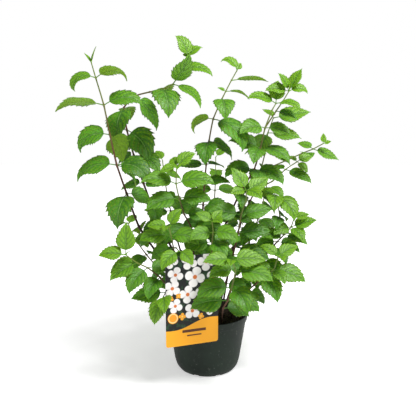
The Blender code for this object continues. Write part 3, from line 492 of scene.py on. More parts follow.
        (0.142, -0.080, 0.252, ((-8, 0.072, -6, -44), (-60, 0.046, -10, -60), (176, 0.052, 16, -30))),
        (0.150, -0.085, 0.282, ((26, 0.055, 32, -4), (150, 0.048, 40, 0), (-80, 0.039, 20, -40))),
    ), ()),
    ("stem_far_right", 0.0026, (0.056, 0.006), (
        (0.105, 0.010, 0.225, ((-80, 0.057, 2, -78),)),
        (0.125, 0.010, 0.250, ((-30, 0.066, 4, -70), (165, 0.062, 4, -60))),
        (0.145, 0.010, 0.275, ((-60, 0.064, 8, -76), (110, 0.057, 8, -50))),
        (0.160, 0.008, 0.293, ((0, 0.060, 10, -50), (190, 0.058, 10, -60))),
        (0.175, 0.005, 0.310, ((192, 0.057, 12, -32), (-22, 0.062, 12, -32), (80, 0.046, 10, -30))),
        (0.190, 0.004, 0.328, ((-4, 0.064, 22, 6), (-62, 0.055, -8, -72), (-150, 0.052, 4, -50))),
        (0.196, 0.000, 0.350, ((130, 0.036, 70, 44), (2, 0.036, 16, 10))),
    ),
    (
        (
            5,
            (
                (0.166, 0.018, 0.350, pair(60, 0.050, 0.050)),
                (
                    0.158,
                    0.024,
                    0.398,
                    (
                        (-100, 0.068, 4, -80),
                        (-30, 0.080, -18, -94),
                        (150, 0.055, 20, -30),
                    ),
                ),
            ),
        ),
    ),
    ),
    ("stem_back_left", 0.0026, (-0.034, 0.044), (
        (-0.062, 0.090, 0.240, pair(120, 0.066, 0.062)),
        (-0.074, 0.110, 0.275, pair(20, 0.070, 0.066)),
        (-0.084, 0.128, 0.310, pair(-70, 0.073, 0.068)),
        (-0.092, 0.144, 0.342, pair(30, 0.070, 0.066)),
        (-0.100, 0.158, 0.375, pair(125, 0.071, 0.064)),
        (-0.110, 0.176, 0.430, pair(35, 0.062, 0.057)),
        (-0.114, 0.184, 0.466, ((130, 0.041, 50, 10),)),
    ), ()),
    ("stem_back", 0.0026, (0.002, 0.050), (
        (0.010, 0.108, 0.245, pair(10, 0.066, 0.066)),
        (0.013, 0.128, 0.282, pair(95, 0.068, 0.066)),
        (0.016, 0.148, 0.320, pair(0, 0.073, 0.070)),
        (0.018, 0.162, 0.355, pair(80, 0.070, 0.066)),
        (0.020, 0.176, 0.390, pair(5, 0.071, 0.068)),
        (0.022, 0.192, 0.440, pair(90, 0.059, 0.052)),
        (0.022, 0.200, 0.474, ((20, 0.041, 48, 10),)),
    ), ()),
    ("stem_back_right", 0.0024, (0.044, 0.050), (
        (0.084, 0.092, 0.230, pair(60, 0.064, 0.059)),
        (0.100, 0.110, 0.260, pair(-40, 0.066, 0.062)),
        (0.116, 0.128, 0.292, pair(40, 0.068, 0.064)),
        (0.128, 0.142, 0.322, pair(-50, 0.066, 0.064)),
        (0.138, 0.152, 0.350, pair(50, 0.066, 0.059)),
        (0.150, 0.166, 0.396, pair(-30, 0.057, 0.052)),
        (0.154, 0.172, 0.430, ((60, 0.039, 48, 10),)),
    ), ()),
    ("stem_back_low_left", 0.0022, (-0.060, 0.012), (
        (-0.104, 0.024, 0.212, pair(140, 0.059, 0.052)),
        (-0.142, 0.034, 0.256, pair(60, 0.062, 0.062)),
        (-0.172, 0.042, 0.296, pair(150, 0.059, 0.050)),
        (-0.184, 0.046, 0.326, ((70, 0.041, 40, 0), (-110, 0.041, 30, -30))),
    ), ()),
)

POT_HEIGHT = 0.132
SOIL_DROP = 0.010
HOLE_DEPTH = 0.038
TWIG_RADIUS = 0.0016
TIP_RADIUS = 0.0011


def axes_of(stem):
    """A stem's main axis and its sprays, each as ([(place, leaves)], first radius, last radius)."""
    _name, radius, (x, y), joints, sprays = stem
    soil_level = POT_HEIGHT - SOIL_DROP
    main = [((x, y, soil_level - HOLE_DEPTH), NO_LEAVES), ((x, y, soil_level + 0.008), NO_LEAVES)]
    main += [(joint[:3], joint[3]) for joint in joints]
    axes = [(main, radius, TIP_RADIUS)]
    for start, spray in sprays:
        route = [(main[start + 1][0], NO_LEAVES)] + [(joint[:3], joint[3]) for joint in spray]
        axes.append((route, TWIG_RADIUS, TIP_RADIUS))
    as_arrays = [[(np.array(place), leaves) for place, leaves in route] for route, _first, _last in axes]
    return [(route, first, last) for route, (_route, first, last) in zip(as_arrays, axes)]


print(f"{len(STEMS)} stems, {sum(len(axes_of(stem)) for stem in STEMS)} axes")

# %% [markdown]
# ## The line of a leaf
# A leaf hangs on its midrib, a curve in an upright plane that bends most towards its drooping tip. Its
# places are running sums of the cosine and sine of its climb. The blade then turns about the midrib to face
# the light, which comes from above and the front.

# %% Leaf lines and light
STALK_SHARE = 0.15
STALK_HALF_WIDTH = 0.0009
LEAF_WIDTH_SHARE = 0.31
LEAF_FOLD = math.radians(13)
LEAF_ARCH = 7.0
EARLY_BEND = 0.35
MIDRIB_STEPS = 41
LIGHT_OUTWARD = 0.25
LIGHT_FRONT = 0.62
LIGHT_UP = 0.75
MOST_ROLL = 48
UP = np.array((0.0, 0.0, 1.0))


def rise_at(rise_start, rise_end, u):
    """The midrib's climb at u in radians. It changes slowly near the stalk and faster towards the tip."""
    return np.radians(rise_start + (rise_end - rise_start) * (EARLY_BEND * u + (1 - EARLY_BEND) * u**2))


def leaf_axes(bearing, rise):
    """The midrib's tangent, the level direction across it and the blade's unrolled normal, at each rise."""
    turn = math.radians(bearing)
    rise = np.atleast_1d(rise)[:, None]
    ahead = np.array((math.cos(turn), math.sin(turn), 0.0))
    tangent = np.cos(rise) * ahead + np.sin(rise) * UP
    across = np.array((-math.sin(turn), math.cos(turn), 0.0))
    return tangent, across, np.cross(tangent, across)


def leaf_lines(leaf, u):
    """Midrib places, sideways directions and normals at each u, from 0 at the stem to 1 at the tip."""
    root, bearing, length, rise_start, rise_end, roll = leaf
    roll, turn = np.radians((roll, bearing))
    steps = np.linspace(0, 1, MIDRIB_STEPS)
    climb = rise_at(rise_start, rise_end, (steps[1:] + steps[:-1]) / 2)
    along = np.concatenate([[0], np.cumsum(np.cos(climb))]) * length / (MIDRIB_STEPS - 1)
    up = np.concatenate([[0], np.cumsum(np.sin(climb))]) * length / (MIDRIB_STEPS - 1)
    along, up = np.interp(u, steps, along), np.interp(u, steps, up)
    midrib = root + np.stack([along * math.cos(turn), along * math.sin(turn), up], -1)
    _tangent, across, normal = leaf_axes(bearing, rise_at(rise_start, rise_end, u))
    sideways = across * math.cos(roll) + normal * math.sin(roll)
    return midrib, sideways, normal * math.cos(roll) - across * math.sin(roll)


def half_width(leaf, u):
    """Half the smooth width at u: a thin stalk, a rounded base, widest at a third, and a drawn-out tip."""
    t = np.clip((u - STALK_SHARE) / (1 - STALK_SHARE), 0, 1)
    blade = t**0.55 * (1 - t) ** 1.2 / 0.3365 * leaf[2] * LEAF_WIDTH_SHARE
    return np.where(u <= STALK_SHARE, STALK_HALF_WIDTH, np.maximum(STALK_HALF_WIDTH * (1 - t), blade))


def light_roll(leaf):
    """How far a blade turns about its midrib so that its upper face looks at the light, in degrees."""
    place = leaf[0]
    reach = math.hypot(place[0], place[1])
    outward = np.array((place[0], place[1], 0)) / reach if reach > 0.001 else np.array((0, -1, 0))
    light = outward * LIGHT_OUTWARD + np.array((0, -LIGHT_FRONT, LIGHT_UP))
    middle_rise = rise_at(leaf[3], leaf[4], 0.5)
    _tangent, across, normal = leaf_axes(leaf[1], middle_rise)
    wanted = math.degrees(math.atan2(light @ across, light @ normal[0]))
    return max(-MOST_ROLL, min(MOST_ROLL, -wanted))

# %% [markdown]
# ## Finding room for every leaf
# No leaf may cut through a cane, the card or another leaf. Each is tried as planned, then turned, lifted or
# made smaller by the least amount that leaves it free. The trial uses a plain blade of about a dozen
# triangles in a BVH tree, Blender's fast test for crossings, and boxes rule out far pieces first.

# %% Plain blades and the search for room
LARGE_LEAF = 0.086
TOOTHED_LEAF = 0.070
SPROUT = 0.052
CLEAR_OF_LEAF = 0.0013
CLEAR_OF_STEM = 0.0010
OFF_CANE = 0.0042
ROOM_GROWTH = 1.05
ROOM_SIDES = 8
BARE_SHARE = 0.06
TURN_DRAW = 5
LENGTH_DRAW = (0.96, 1.05)
ROLL_DRAW = 9


def tooth_stations(length):
    """(u, share of the smooth width) down a plain blade's edge."""
    if length >= LARGE_LEAF:
        return ((0.27, 1.0), (0.48, 1.06), (0.53, 0.88), (0.78, 1.0))
    if length >= TOOTHED_LEAF:
        return ((0.29, 1.0), (0.56, 1.08), (0.62, 0.86))
    if length >= SPROUT:
        return ((0.30, 1.0), (0.62, 1.06))
    return ((0.42, 1.0),)


def zipped(edge, rib, side):
    """Triangles between two chains of (point, u), always stepping along the chain that is behind."""
    faces = []
    i = j = 0
    while edge[i][0] != edge[-1][0] or rib[j][0] != rib[-1][0]:
        step_edge = j == len(rib) - 1 or (i < len(edge) - 1 and edge[i + 1][1] <= rib[j + 1][1])
        if step_edge:
            face = (edge[i][0], rib[j][0], edge[i + 1][0])
            i += 1
        else:
            face = (edge[i][0], rib[j][0], rib[j + 1][0])
            j += 1
        if len(set(face)) == 3:
            faces.append(face if side > 0 else (face[0], face[2], face[1]))
    return faces


def plain_faces(teeth, ribs):
    """The triangles of a plain blade: its stalk, then each half between its edge and the midrib."""
    rib_at, tip = 4, 4 + len(ribs)
    faces = [(0, 1, 3), (0, 3, 2), (2, 3, rib_at)]
    rib_chain = [(rib_at + number, u) for number, u in enumerate(ribs)] + [(tip, 1.0)]
    for side, stalk_end, first in ((1, 2, tip + 1), (-1, 3, tip + 1 + len(teeth))):
        edge = [(first + number, u) for number, (u, _share) in enumerate(teeth)]
        faces += zipped([(stalk_end, STALK_SHARE), *edge, (tip, 1.0)], rib_chain, side)
    return np.array(faces)


def plain_blade(leaf, first_u, grow=1.0):
    """A plain blade's points and triangles. Each half rises by the fold and sinks by its arch."""
    teeth = tooth_stations(leaf[2])
    ribs = (0.42, 0.70) if leaf[2] >= LARGE_LEAF else (0.52,)
    edge_u = [u for u, _share in teeth]
    u = np.array([first_u, first_u, STALK_SHARE, STALK_SHARE, *ribs, 1.0, *edge_u, *edge_u])
    side = np.array([1, -1, 1, -1] + [0] * (len(ribs) + 1) + [1] * len(teeth) + [-1] * len(teeth))
    share = np.array([1.0] * (5 + len(ribs)) + [share * grow for _u, share in teeth] * 2)
    midrib, across, normal = leaf_lines(leaf, u)
    width = half_width(leaf, u) * share
    lift = np.where(u <= STALK_SHARE, 0, math.tan(LEAF_FOLD) * width - LEAF_ARCH * width**2) * np.abs(side)
    return midrib + across * (side * width)[:, None] + normal * lift[:, None], plain_faces(teeth, ribs)


def room_of(leaf):
    """The space that a blade needs: a shell a little larger and thicker, from just outside its cane."""
    points, faces = plain_blade(leaf, min(STALK_SHARE * 0.85, OFF_CANE / leaf[2]), ROOM_GROWTH)
    a, b, c = (points[faces[:, n]] for n in range(3))
    leans = np.zeros_like(points)
    for corner in range(3):
        np.add.at(leans, faces[:, corner], np.cross(b - a, c - a))
    offset = leans / np.linalg.norm(leans, axis=1)[:, None] * CLEAR_OF_LEAF
    count = len(points)
    edges = {(face[n], face[(n + 1) % 3]) for face in faces.tolist() for n in range(3)}
    rim = [(a, b, b + count, a + count) for a, b in edges if (b, a) not in edges]
    shell = np.concatenate([points + offset, points - offset])
    return shell, faces.tolist() + (faces[:, ::-1] + count).tolist() + rim


class Standing:
    """The pieces that already stand: a tree and a box for each."""

    def __init__(self):
        self.trees, self.lows, self.highs = [], [], []

    def add(self, points, faces):
        self.trees.append(BVHTree.FromPolygons(points.tolist(), faces))
        self.lows.append(points.min(0))
        self.highs.append(points.max(0))

    def is_crossed_by(self, points, faces):
        starts_before_end = np.array(self.lows) <= points.max(0)
        near = np.all(starts_before_end & (np.array(self.highs) >= points.min(0)), axis=1)
        if not near.any():
            return False
        tree = BVHTree.FromPolygons(points.tolist(), faces)
        return any(tree.overlap(self.trees[number]) for number in np.flatnonzero(near))


def cad_skin(node):
    """A copy of a CAD node's loose triangles, as points and faces."""
    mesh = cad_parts[node].data
    points = np.empty(len(mesh.vertices) * 3, np.float32)
    mesh.vertices.foreach_get("co", points)
    return points.reshape(-1, 3).astype(float), [tuple(polygon.vertices) for polygon in mesh.polygons]


def tube_rings(places, radii, sides, first_turn=0.0):
    """Rings round a path: each lies square to the path's direction there, at its own radius."""
    ahead = np.gradient(places, axis=0)
    ahead /= np.linalg.norm(ahead, axis=1)[:, None]
    aside = np.cross(ahead, (0.31, 0.95, 0.0))
    aside /= np.linalg.norm(aside, axis=1)[:, None]
    over = np.cross(aside, ahead)
    turn = first_turn + np.arange(sides) / sides * math.tau
    ring = aside[:, None] * np.cos(turn)[None, :, None] + over[:, None] * np.sin(turn)[None, :, None]
    return places[:, None] + ring * np.asarray(radii)[:, None, None]


print("the search for room is ready")

# %% [markdown]
# ## Placing every leaf
# The plan gives each leaf a direction and a droop, and a seeded draw varies it a little, so that the plant
# is the same at each run. The choices of a bend are sorted by how much they change, and the first that leaves
# the leaf free is taken.

# %% Place every leaf
def bend_choices():
    """(turn, lift, size) changes to a leaf, the least first."""
    turns = (0, 12, -12, 24, -24, 38, -38, 54, -54)
    lifts = (0, 16, -16, 32, -32)
    sizes = (1.0, 0.84, 0.68)
    choices = [(turn, lift, size) for turn in turns for lift in lifts for size in sizes]
    return sorted(choices, key=lambda c: abs(c[0]) / 12 + abs(c[1]) / 14 + (1 - c[2]) * 14)


def free_leaf(place, planned, choices, standing):
    """The leaf nearest to the plan that crosses nothing, or None. A planned roll replaces the light's."""
    bearing, length, rise_start, rise_end, planned_roll, own_roll = planned
    for turn, lift, size in choices:
        leaf = (place, bearing + turn, length * size, rise_start + lift, rise_end + lift * 0.6, 0.0)
        roll = planned_roll[0] if planned_roll else light_roll(leaf)
        leaf = (*leaf[:5], roll + own_roll)
        if not standing.is_crossed_by(*room_of(leaf)):
            return leaf
    return None


def placed_leaves():
    """Every leaf as (stem name, share of its axis, leaf), bent clear of pot, card, canes and elders."""
    random.seed(SEED)
    standing = Standing()
    for node in ("pot", "soil", "tag"):
        standing.add(*cad_skin(node))
    for stem in STEMS:
        for route, first, last in axes_of(stem):
            places = np.array([place for place, _leaves in route])
            radii = np.linspace(first, last, len(places)) + CLEAR_OF_STEM
            points, quads, fans = closed_skin(tube_rings(places, radii, ROOM_SIDES))
            standing.add(points, quads.tolist() + fans.tolist())
    choices = bend_choices()
    found = []
    for stem in STEMS:
        for route, _first, _last in axes_of(stem):
            for number, (place, leaves) in enumerate(route):
                for bearing, length, rise_start, rise_end, *roll in leaves:
                    bearing += random.uniform(-TURN_DRAW, TURN_DRAW)
                    length *= random.uniform(*LENGTH_DRAW)
                    own_roll = random.uniform(-ROLL_DRAW, ROLL_DRAW)
                    planned = (bearing, length, rise_start, rise_end, roll, own_roll)
                    leaf = free_leaf(place, planned, choices, standing)
                    if leaf:
                        found.append((stem[0], number / (len(route) - 1), leaf))
                        points, faces = plain_blade(leaf, BARE_SHARE)
                        standing.add(points, faces.tolist())
    return found


LEAVES = placed_leaves()
print(f"{len(LEAVES)} leaves placed")

# %% [markdown]
# ## The fine leaf
# A real blade is thin but solid, so each leaf is one closed skin: a ring of points runs over the upper face
# and back under the lower one, and the rings follow the midrib. On the stalk a ring is a small circle, and
# it opens into the blade. Teeth point forward, the halves fold up from a sunken midrib, and the blade
# swells between its side veins.

# %% Fine leaf skins
UPPER_COLUMNS = 13
LOWER_COLUMNS = 11
BLADE_HALF_THICKNESS = 0.00028
STALK_RADIUS = 0.0009
VEIN_PAIRS = 6.3
VEIN_SWEEP = 0.36
VEIN_BEND = 1.35
VEIN_START = 0.145
RELIEF = 0.0012
MIDRIB_DEPTH = 0.0009
TOOTH_LEAN = 0.03
TEETH_FROM = 0.20
TEETH_TO = 0.90
TOOTH_PROFILE = ((0.0, 0.93), (0.35, 0.965), (0.62, 1.01), (0.86, 1.08))
STALK_STATIONS = (0.0, 0.05, 0.10, 0.135)
BASE_STATIONS = (0.0, 0.018, 0.05, 0.09, 0.14)
TIP_PROFILE = ((0.91, 0.9), (0.94, 0.8), (0.97, 0.85), (0.99, 1.0), (1.0, 1.0))
STALK_OPENS = (0.125, 0.185)
BLADE_GROWS = (0.15, 0.24)
RELIEF_FADES = (0.78, 0.95)
MODEL_LENGTH = 0.08
KEEL = 0.00055


def leaf_stations(length):
    """u and tooth share down a fine leaf: stalk, rounded base, each tooth from its notch, then the point."""
    teeth = 6 if length > 0.055 else 5 if length > 0.035 else 4
    step = (TEETH_TO - TEETH_FROM) / teeth
    blade = [(t, 1.0) for t in BASE_STATIONS]
    for tooth in range(teeth):
        blade += [(TEETH_FROM + step * (tooth + t), share) for t, share in TOOTH_PROFILE]
    blade += TIP_PROFILE
    stalk = [(u, 0) for u in STALK_STATIONS]
    return np.array(stalk + [(STALK_SHARE + t * (1 - STALK_SHARE), share) for t, share in blade])


def soft_step(value, low, high):
    """0 below low, 1 above high, and a smooth cubic between them."""
    t = np.clip((value - low) / (high - low), 0, 1)
    return t * t * (3 - 2 * t)


def ring_columns():
    """For each point of a ring: s from edge to edge, 1 above or 0 below, and its turn round the stalk."""
    over = np.linspace(-1, 1, UPPER_COLUMNS)
    under = np.linspace(1, -1, LOWER_COLUMNS + 2)[1:-1]
    upper = np.concatenate([np.ones(UPPER_COLUMNS), np.zeros(LOWER_COLUMNS)])
    turn = np.concatenate([math.pi * (1 - over) / 2, -math.pi * (1 - under) / 2])
    return np.concatenate([over, under]), upper, turn


def blade_relief(u, reach, size):
    """Swells between side veins, a cosine of u less the veins' sweep, over a groove along the midrib."""
    ridge = -np.cos(math.tau * VEIN_PAIRS * (u - VEIN_START - VEIN_SWEEP * reach**VEIN_BEND))
    ridge = np.where(ridge > 0, ridge**0.7, 1.4 * ridge) * (1 - soft_step(u, *RELIEF_FADES))
    swell = RELIEF * size * ridge * reach**0.5 * (1 - reach**4)
    return soft_step(u, *BLADE_GROWS) * (swell - MIDRIB_DEPTH * size * np.exp(-((reach / 0.13) ** 2)))


def blade_height(u, s, out, upper, size, draw):
    """Height over the midrib: the fold less its arch, edge waves, relief, then half the thickness."""
    reach, distance = np.abs(s), np.abs(out)
    grown = soft_step(u, *BLADE_GROWS)
    fold = math.tan(LEAF_FOLD) * distance - LEAF_ARCH * distance**2
    turns = draw["waves"] * u + draw["phase"] + 0.31 * (s > 0)
    wave = draw["wave"] * size * grown * np.sin(math.tau * turns)
    thickness = BLADE_HALF_THICKNESS * (1 - 0.75 * reach**5) * (1 - 0.5 * u)
    keel = np.exp(-((reach / 0.11) ** 2)) * KEEL * (1.1 - u) * grown
    skin = np.where(upper > 0, thickness, -thickness - keel) * (reach < 1)
    return fold + wave * reach**2.2 + blade_relief(u, reach, size) + skin


def fine_leaf(leaf, draw):
    """The rings of a leaf, with u, s and side for each point. s runs from -1 at one edge, over 0, to 1."""
    u, tooth = (column[:, None] for column in leaf_stations(leaf[2]).T)
    s, upper, turn = (row[None] for row in ring_columns())
    reach = np.abs(s)
    size = leaf[2] / MODEL_LENGTH
    uneven = np.interp(u, np.linspace(TEETH_FROM, 1, len(draw["teeth"])), draw["teeth"])
    toothed = 1 + (tooth - 1) * np.where(u < TEETH_TO, uneven, 1)
    lean = np.clip((toothed - 0.93) / 0.15, 0, 1) * TOOTH_LEAN * reach**4 * soft_step(u, *BLADE_GROWS)
    place_u = np.clip(u + lean * (u < TEETH_TO) * (tooth > 0), 0, 1)
    shape = place_u.shape
    midrib, across, normal = (a.reshape(*shape, 3) for a in leaf_lines(leaf, place_u.ravel()))
    out = half_width(leaf, u) * (1 + (toothed - 1) * reach**4 * (tooth > 0)) * s
    stalk = STALK_RADIUS * (0.75 + 0.35 * size) * (1 + 0.35 * (1 - soft_step(u, 0, 0.05)))
    opened = soft_step(u, *STALK_OPENS)
    sideways = (1 - opened) * stalk * np.cos(turn) + opened * out
    upward = (1 - opened) * stalk * np.sin(turn) + opened * blade_height(u, s, out, upper, size, draw)
    points = midrib + across * sideways[..., None] + normal * upward[..., None]
    return points, place_u, np.broadcast_to(s, shape), np.broadcast_to(upper, shape)


def leaf_draw():
    """One leaf's own small differences."""
    return {
        "wave": random.uniform(0.0004, 0.0013),
        "waves": random.uniform(1.2, 2.4),
        "phase": random.random(),
        "tone": random.random(),
        "teeth": [random.uniform(0.35, 1.5) for _ in range(9)],
    }


print("stations of a large leaf:", len(leaf_stations(0.09)))

# %% [markdown]
# ## Leaf finish
# A leaf is mid green with a slight wax gloss. Old leaves low on the shoot are darker, young ones at the tips
# are yellow green, and the underside is pale and dull. Light also comes through the thin blade,
# which subsurface scattering gives. The hollows along its veins and the groove along its midrib are painted
# darker as shade, each vein is a thin pale line, and a fine net of cells breaks up the gloss, its sunken
# lines painted a little darker as shade.

# %% Leaf finish
def leaf_finish():
    """Colour by age, mottle, veins and side, painted shade in the net, vein hollows and midrib, and the same
    veins and net in the bump.
    """
    glow = {"Subsurface_Weight": 0.12, "Subsurface_Scale": 0.004, "Subsurface_Radius": (0.6, 1.0, 0.2)}
    made, tree, shader = new_finish("leaf", Specular_IOR_Level=0.42, **glow)
    u, s, tone, age, upper = (attribute(tree, name) for name in ("u", "s", "tone", "age", "upper"))
    place = object_place(tree)
    young, prime, old = colour(118, 168, 24), colour(74, 136, 22), colour(34, 80, 10)
    base = blend(tree, ramp(tree, age, 0.0, 0.55), young, prime)
    darkness = maths(tree, "ADD", age, maths(tree, "MULTIPLY", tone, 0.5))
    base = blend(tree, ramp(tree, darkness, 0.7, 1.35), base, old)
    mottle = noise(tree, place, 45, 4)
    base = blend(tree, ramp(tree, mottle, 0.35, 0.75, 0.0, 0.45), base, colour(92, 148, 22))
    net = tree.nodes.new("ShaderNodeTexVoronoi")
    net.feature = "DISTANCE_TO_EDGE"
    feed(tree, net.inputs["Vector"], place)
    feed(tree, net.inputs["Scale"], 210)
    # Painted shade: the net's sunken lines are coloured a little darker, as shade in their grooves.
    groove = ramp(tree, net.outputs["Distance"], 0.22, 0.0)
    base = blend(tree, maths(tree, "MULTIPLY", groove, 0.14), base, colour(30, 72, 16))
    reach = maths(tree, "ABSOLUTE", s)
    swept = maths(tree, "MULTIPLY", maths(tree, "POWER", reach, VEIN_BEND), VEIN_SWEEP)
    turns = maths(tree, "SUBTRACT", maths(tree, "SUBTRACT", u, VEIN_START), swept)
    wave = maths(tree, "COSINE", maths(tree, "MULTIPLY", turns, math.tau * VEIN_PAIRS))
    faded = maths(tree, "MULTIPLY", ramp(tree, reach, 1.0, 0.6), ramp(tree, u, 0.95, 0.75))
    # Painted shade: the hollows between the side veins and the groove along the midrib are darkened.
    painted_hollow_shade = maths(tree, "MULTIPLY", ramp(tree, wave, 0.5, 1.0), faded)
    painted_hollow_shade = maths(tree, "MAXIMUM", painted_hollow_shade, ramp(tree, reach, 0.2, 0.03))
    base = blend(tree, maths(tree, "MULTIPLY", painted_hollow_shade, 0.6), base, colour(26, 74, 12))
    side_vein = maths(tree, "MULTIPLY", ramp(tree, wave, 0.965, 1.0), faded)
    main_vein = ramp(tree, reach, 0.055, 0.02)
    vein = maths(tree, "MAXIMUM", main_vein, maths(tree, "MULTIPLY", side_vein, 0.6), clamp=True)
    base = blend(tree, maths(tree, "MULTIPLY", vein, 0.5), base, colour(136, 180, 84))
    edge = maths(tree, "MULTIPLY", ramp(tree, reach, 0.965, 1.0), 0.45)
    base = blend(tree, edge, base, colour(70, 74, 24))
    below = blend(tree, 0.6, base, colour(118, 150, 14))
    tree.links.new(blend(tree, upper, below, base), shader.inputs["Base Color"])
    rough = ramp(tree, mottle, 0.3, 0.8, 0.38, 0.52)
    feed(tree, shader.inputs["Roughness"], maths(tree, "ADD", rough, ramp(tree, upper, 1.0, 0.0, 0.0, 0.25)))
    height = maths(tree, "ADD", maths(tree, "MULTIPLY", groove, -0.3), maths(tree, "MULTIPLY", vein, -0.9))
    bump(tree, shader, maths(tree, "ADD", height, maths(tree, "MULTIPLY", mottle, 1.5)), 0.9, 0.001)
    return made


LEAF_FINISH = leaf_finish()
print("leaf finish made")

# %% [markdown]
# ## Cane finish
# The oldest wood low on the plant is dark brown with pale, peeling flecks, the middle is red brown, and new
# shoots are green. One value, the age of the wood at each point, leads the colour from one to the next.

# %% Cane finish
def cane_finish():
    """Green to red brown to dark bark by the wood's age, with streaks and pale flecks."""
    made, tree, shader = new_finish("cane", Specular_IOR_Level=0.35)
    age = attribute(tree, "age")
    place = object_place(tree)
    streak = noise(tree, place, 240, 5, 0.65)
    aged = maths(tree, "ADD", age, maths(tree, "MULTIPLY", maths(tree, "SUBTRACT", streak, 0.5), 0.35))
    green, red_brown, bark = colour(108, 126, 48), colour(88, 56, 36), colour(34, 24, 20)
    base = blend(tree, ramp(tree, aged, 0.12, 0.5), green, red_brown)
    base = blend(tree, ramp(tree, aged, 0.45, 0.85), base, bark)
    speck = ramp(tree, noise(tree, place, 520, 3), 0.58, 0.72)
    fleck = maths(tree, "MULTIPLY", speck, ramp(tree, age, 0.3, 0.8))
    base = blend(tree, maths(tree, "MULTIPLY", fleck, 0.5), base, colour(128, 104, 84))
    tree.links.new(base, shader.inputs["Base Color"])
    feed(tree, shader.inputs["Roughness"], ramp(tree, aged, 0.1, 0.8, 0.42, 0.78))
    bump(tree, shader, maths(tree, "ADD", streak, fleck), 0.6, 0.0005)
    return made


CANE_FINISH = cane_finish()
print("cane finish made")

# %% [markdown]
# ## Canes
# A shoot is thickest at its foot, swells at each joint where leaves leave it, and bends a little there. Its
# path is a smooth curve through the joints, and rings follow it with a swell round each joint.

# %% Grow the stems
CANE_SIDES = 10
SEGMENT_STATIONS = np.array((0.0, 0.035, 0.09, 0.30, 0.60, 0.90, 0.965))
SEGMENT_SWELL = np.array((1.42, 1.30, 1.03, 1.0, 1.0, 1.05, 1.30))
BEND_SOFTNESS = 0.45


def smooth_path(places):
    """Places through the joints: the straight line between two joints, eased towards a cubic spline."""
    before = np.concatenate([places[:1], places[:-2]])
    start, end = places[:-1], places[1:]
    after = np.concatenate([places[2:], places[-1:]])
    t = SEGMENT_STATIONS[None, :, None]
    leave, arrive = (end - before)[:, None] / 2, (after - start)[:, None] / 2
    start, end = start[:, None], end[:, None]
    spline = (
        start * (2 * t**3 - 3 * t**2 + 1) + leave * (t**3 - 2 * t**2 + t)
        + end * (3 * t**2 - 2 * t**3) + arrive * (t**3 - t**2)
    )
    straight = start + (end - start) * t
    eased = straight + (spline - straight) * BEND_SOFTNESS
    return np.concatenate([eased.reshape(-1, 3), places[-1:]])


def cane_rings(route, first, last):
    """The rings of one axis and how far along it each one is."""
    places = np.array([place for place, _leaves in route])
    joints = len(places)
    swell = np.concatenate([np.tile(SEGMENT_SWELL, joints - 1), [0.75]])
    stations = (np.arange(joints - 1)[:, None] + SEGMENT_STATIONS[None]).ravel()
    share = np.concatenate([stations, [joints - 1]]) / (joints - 1)
    swell[:3] = 1.0
    return tube_rings(smooth_path(places), (first + (last - first) * share) * swell, CANE_SIDES), share


def wood_age(first, share):
    """1 in old wood at the foot of a thick cane, 0 at a green tip. A spray is young wood, so it is green."""
    oldest = 0.3 if first == TWIG_RADIUS else 0.55 + (first - TIP_RADIUS) / 0.0045
    return np.clip(oldest * (1 - share**1.3), 0, 1)


random.seed(SEED + 1)
for stem in STEMS:
    wood = Skins()
    for route, first, last in axes_of(stem):
        rings, share = cane_rings(route, first, last)
        wood.add(rings, age=wood_age(first, share)[:, None])
    wood.piece("bark_" + stem[0][5:], CANE_FINISH, stem[0])
    foliage = Skins()
    for _name, share, leaf in (row for row in LEAVES if row[0] == stem[0]):
        draw = leaf_draw()
        rings, u, s, upper = fine_leaf(leaf, draw)
        age = np.full(u.shape, (1 - share) * 0.8 + min(leaf[2] / 0.1, 1) * 0.25)
        foliage.add(rings, u=u, s=s, upper=upper, tone=np.full(u.shape, draw["tone"]), age=age)
    foliage.piece("leaves_" + stem[0][5:], LEAF_FINISH, stem[0])

# %% [markdown]
# ## The nursery pot
# The pot is blow-moulded from thin plastic: a collar with a rolled lip, a tapered wall and a round heel with
# drain notches. Turning a profile gives all of it but the notches, which a Boolean modifier cuts.

# %% Pot
RIM_RADIUS = 0.095
COLLAR_HEIGHT = 0.018
COLLAR_FLARE = 0.0035
WALL_TOP_RADIUS = 0.0895
CORNER_RADIUS = 0.0750
CORNER_HEIGHT = 0.022
HEEL_RADIUS = 0.0710
HEEL_HEIGHT = 0.0095
FOOT_RADIUS = 0.064
WALL = 0.0022
EDGE = 0.0008
POT_SIDES = 120
NOTCH_COUNT = 8
NOTCH_WIDTH = 0.013
NOTCH_HEIGHT = 0.006
NOTCH_LENGTH = 0.022


def eased_profile(corners):
    """(radius, height) points, with a small arc at each (radius, height, how far the arc may reach)."""
    corners = np.array(corners)
    places, reach = corners[:, :2], corners[:, 2]
    middle, before, after = places[1:-1], places[:-2], places[2:]
    back, ahead = before - middle, after - middle
    back /= np.linalg.norm(back, axis=1)[:, None]
    ahead /= np.linalg.norm(ahead, axis=1)[:, None]
    t = np.array((0.0, 0.25, 0.5, 0.75, 1.0))[None, :, None]
    start = (middle + back * reach[1:-1, None])[:, None]
    end = (middle + ahead * reach[1:-1, None])[:, None]
    arcs = start * (1 - t) ** 2 + 2 * middle[:, None] * t * (1 - t) + end * t**2
    return np.concatenate([places[:1], arcs.reshape(-1, 2), places[-1:]])


def turned_rings(profile, sides):
    """Rings about Z, one for each (radius, height)."""
    turn = np.arange(sides) / sides * math.tau
    radius, height = profile[:, :1], profile[:, 1:]
    return np.stack([radius * np.cos(turn), radius * np.sin(turn), height + 0 * turn], -1)


